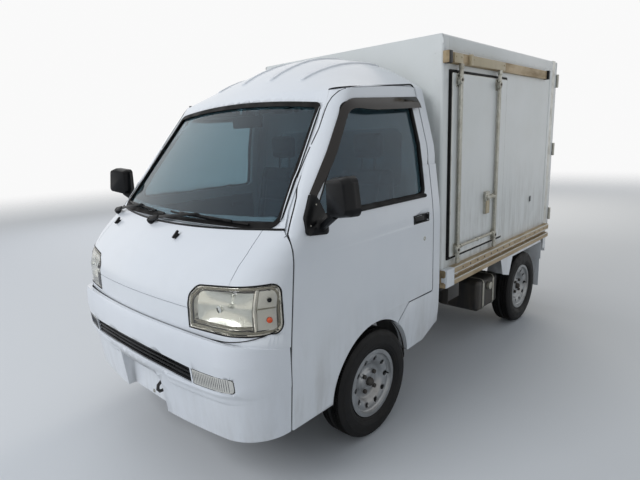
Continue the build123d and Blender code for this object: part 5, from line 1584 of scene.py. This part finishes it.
world = bpy.data.worlds.new("studioWorld")
bpy.context.scene.world = world
world.use_nodes = True
worldTree = world.node_tree
worldTree.nodes.clear()
rays = addNode(worldTree, "LightPath").outputs
seen = addNode(worldTree, "Math", {0: rays["Is Camera Ray"], 1: rays["Is Transmission Ray"]},
               operation="MAXIMUM").outputs[0]
seen = addNode(worldTree, "Math", {0: seen, 1: rays["Is Glossy Ray"]}, operation="MAXIMUM").outputs[0]
soft = addNode(worldTree, "Background", {"Color": hexColour("#e1e9f4"), "Strength": 0.50})
white = addNode(worldTree, "Background", {"Color": (1, 1, 1, 1), "Strength": 0.95})
worldMix = addNode(worldTree, "MixShader", {0: seen, 1: soft.outputs[0], 2: white.outputs[0]})
addNode(worldTree, "OutputWorld", {"Surface": worldMix.outputs[0]})

# name, place, size, watts, colour
lampRows = [
    ("keyLamp", (-1.5, -7.0, 6.0), 4.0, 312, "#f3f7ff"),
    ("sideFill", (7.0, 0.5, 3.2), 4.0, 12, "#eaf1ff"),
    ("farFill", (-7.0, 1.5, 4.0), 4.0, 95, "#f4f6ff"),
    ("rearLamp", (-2.0, 7.5, 5.0), 4.0, 200, "#fff8ef"),
]
for lampName, place, size, watts, tint in lampRows:
    light = bpy.data.lights.new(lampName, "AREA")
    light.size, light.energy, light.color = size, watts, hexColour(tint)[:3]
    lampObject = bpy.data.objects.new(lampName, light)
    bpy.context.scene.collection.objects.link(lampObject)
    lampObject.location = place
    lampObject.visible_glossy = False
    lampObject.rotation_euler = (Vector((0, 0, 0.8)) - Vector(place)).to_track_quat("-Z", "Y").to_euler()

# Camera at the photograph's angle
view = {"place": (2.0058, -2.5404, 1.4651), "yaw": 43.27, "pitch": 12.25, "roll": -2.28, "lens": 26.82}
yaw, pitch, roll = (math.radians(view[key]) for key in ("yaw", "pitch", "roll"))
ahead = Vector((-math.sin(yaw) * math.cos(pitch), math.cos(yaw) * math.cos(pitch), -math.sin(pitch)))
right = ahead.cross(Vector(toTop)).normalized()
up = right.cross(ahead)
rolledRight = math.cos(roll) * right + math.sin(roll) * up
rolledUp = math.cos(roll) * up - math.sin(roll) * right
camera = bpy.data.cameras.new("photoCamera")
camera.lens, camera.sensor_width, camera.clip_start = view["lens"], 36, 0.05
cameraObject = bpy.data.objects.new("photoCamera", camera)
bpy.context.scene.collection.objects.link(cameraObject)
cameraTurn = Matrix((rolledRight, rolledUp, -ahead)).transposed().to_4x4()
cameraObject.matrix_world = Matrix.Translation(view["place"]) @ cameraTurn
bpy.context.scene.camera = cameraObject
bpy.context.scene.view_settings.view_transform = "Standard"
print("stage, light and camera set")
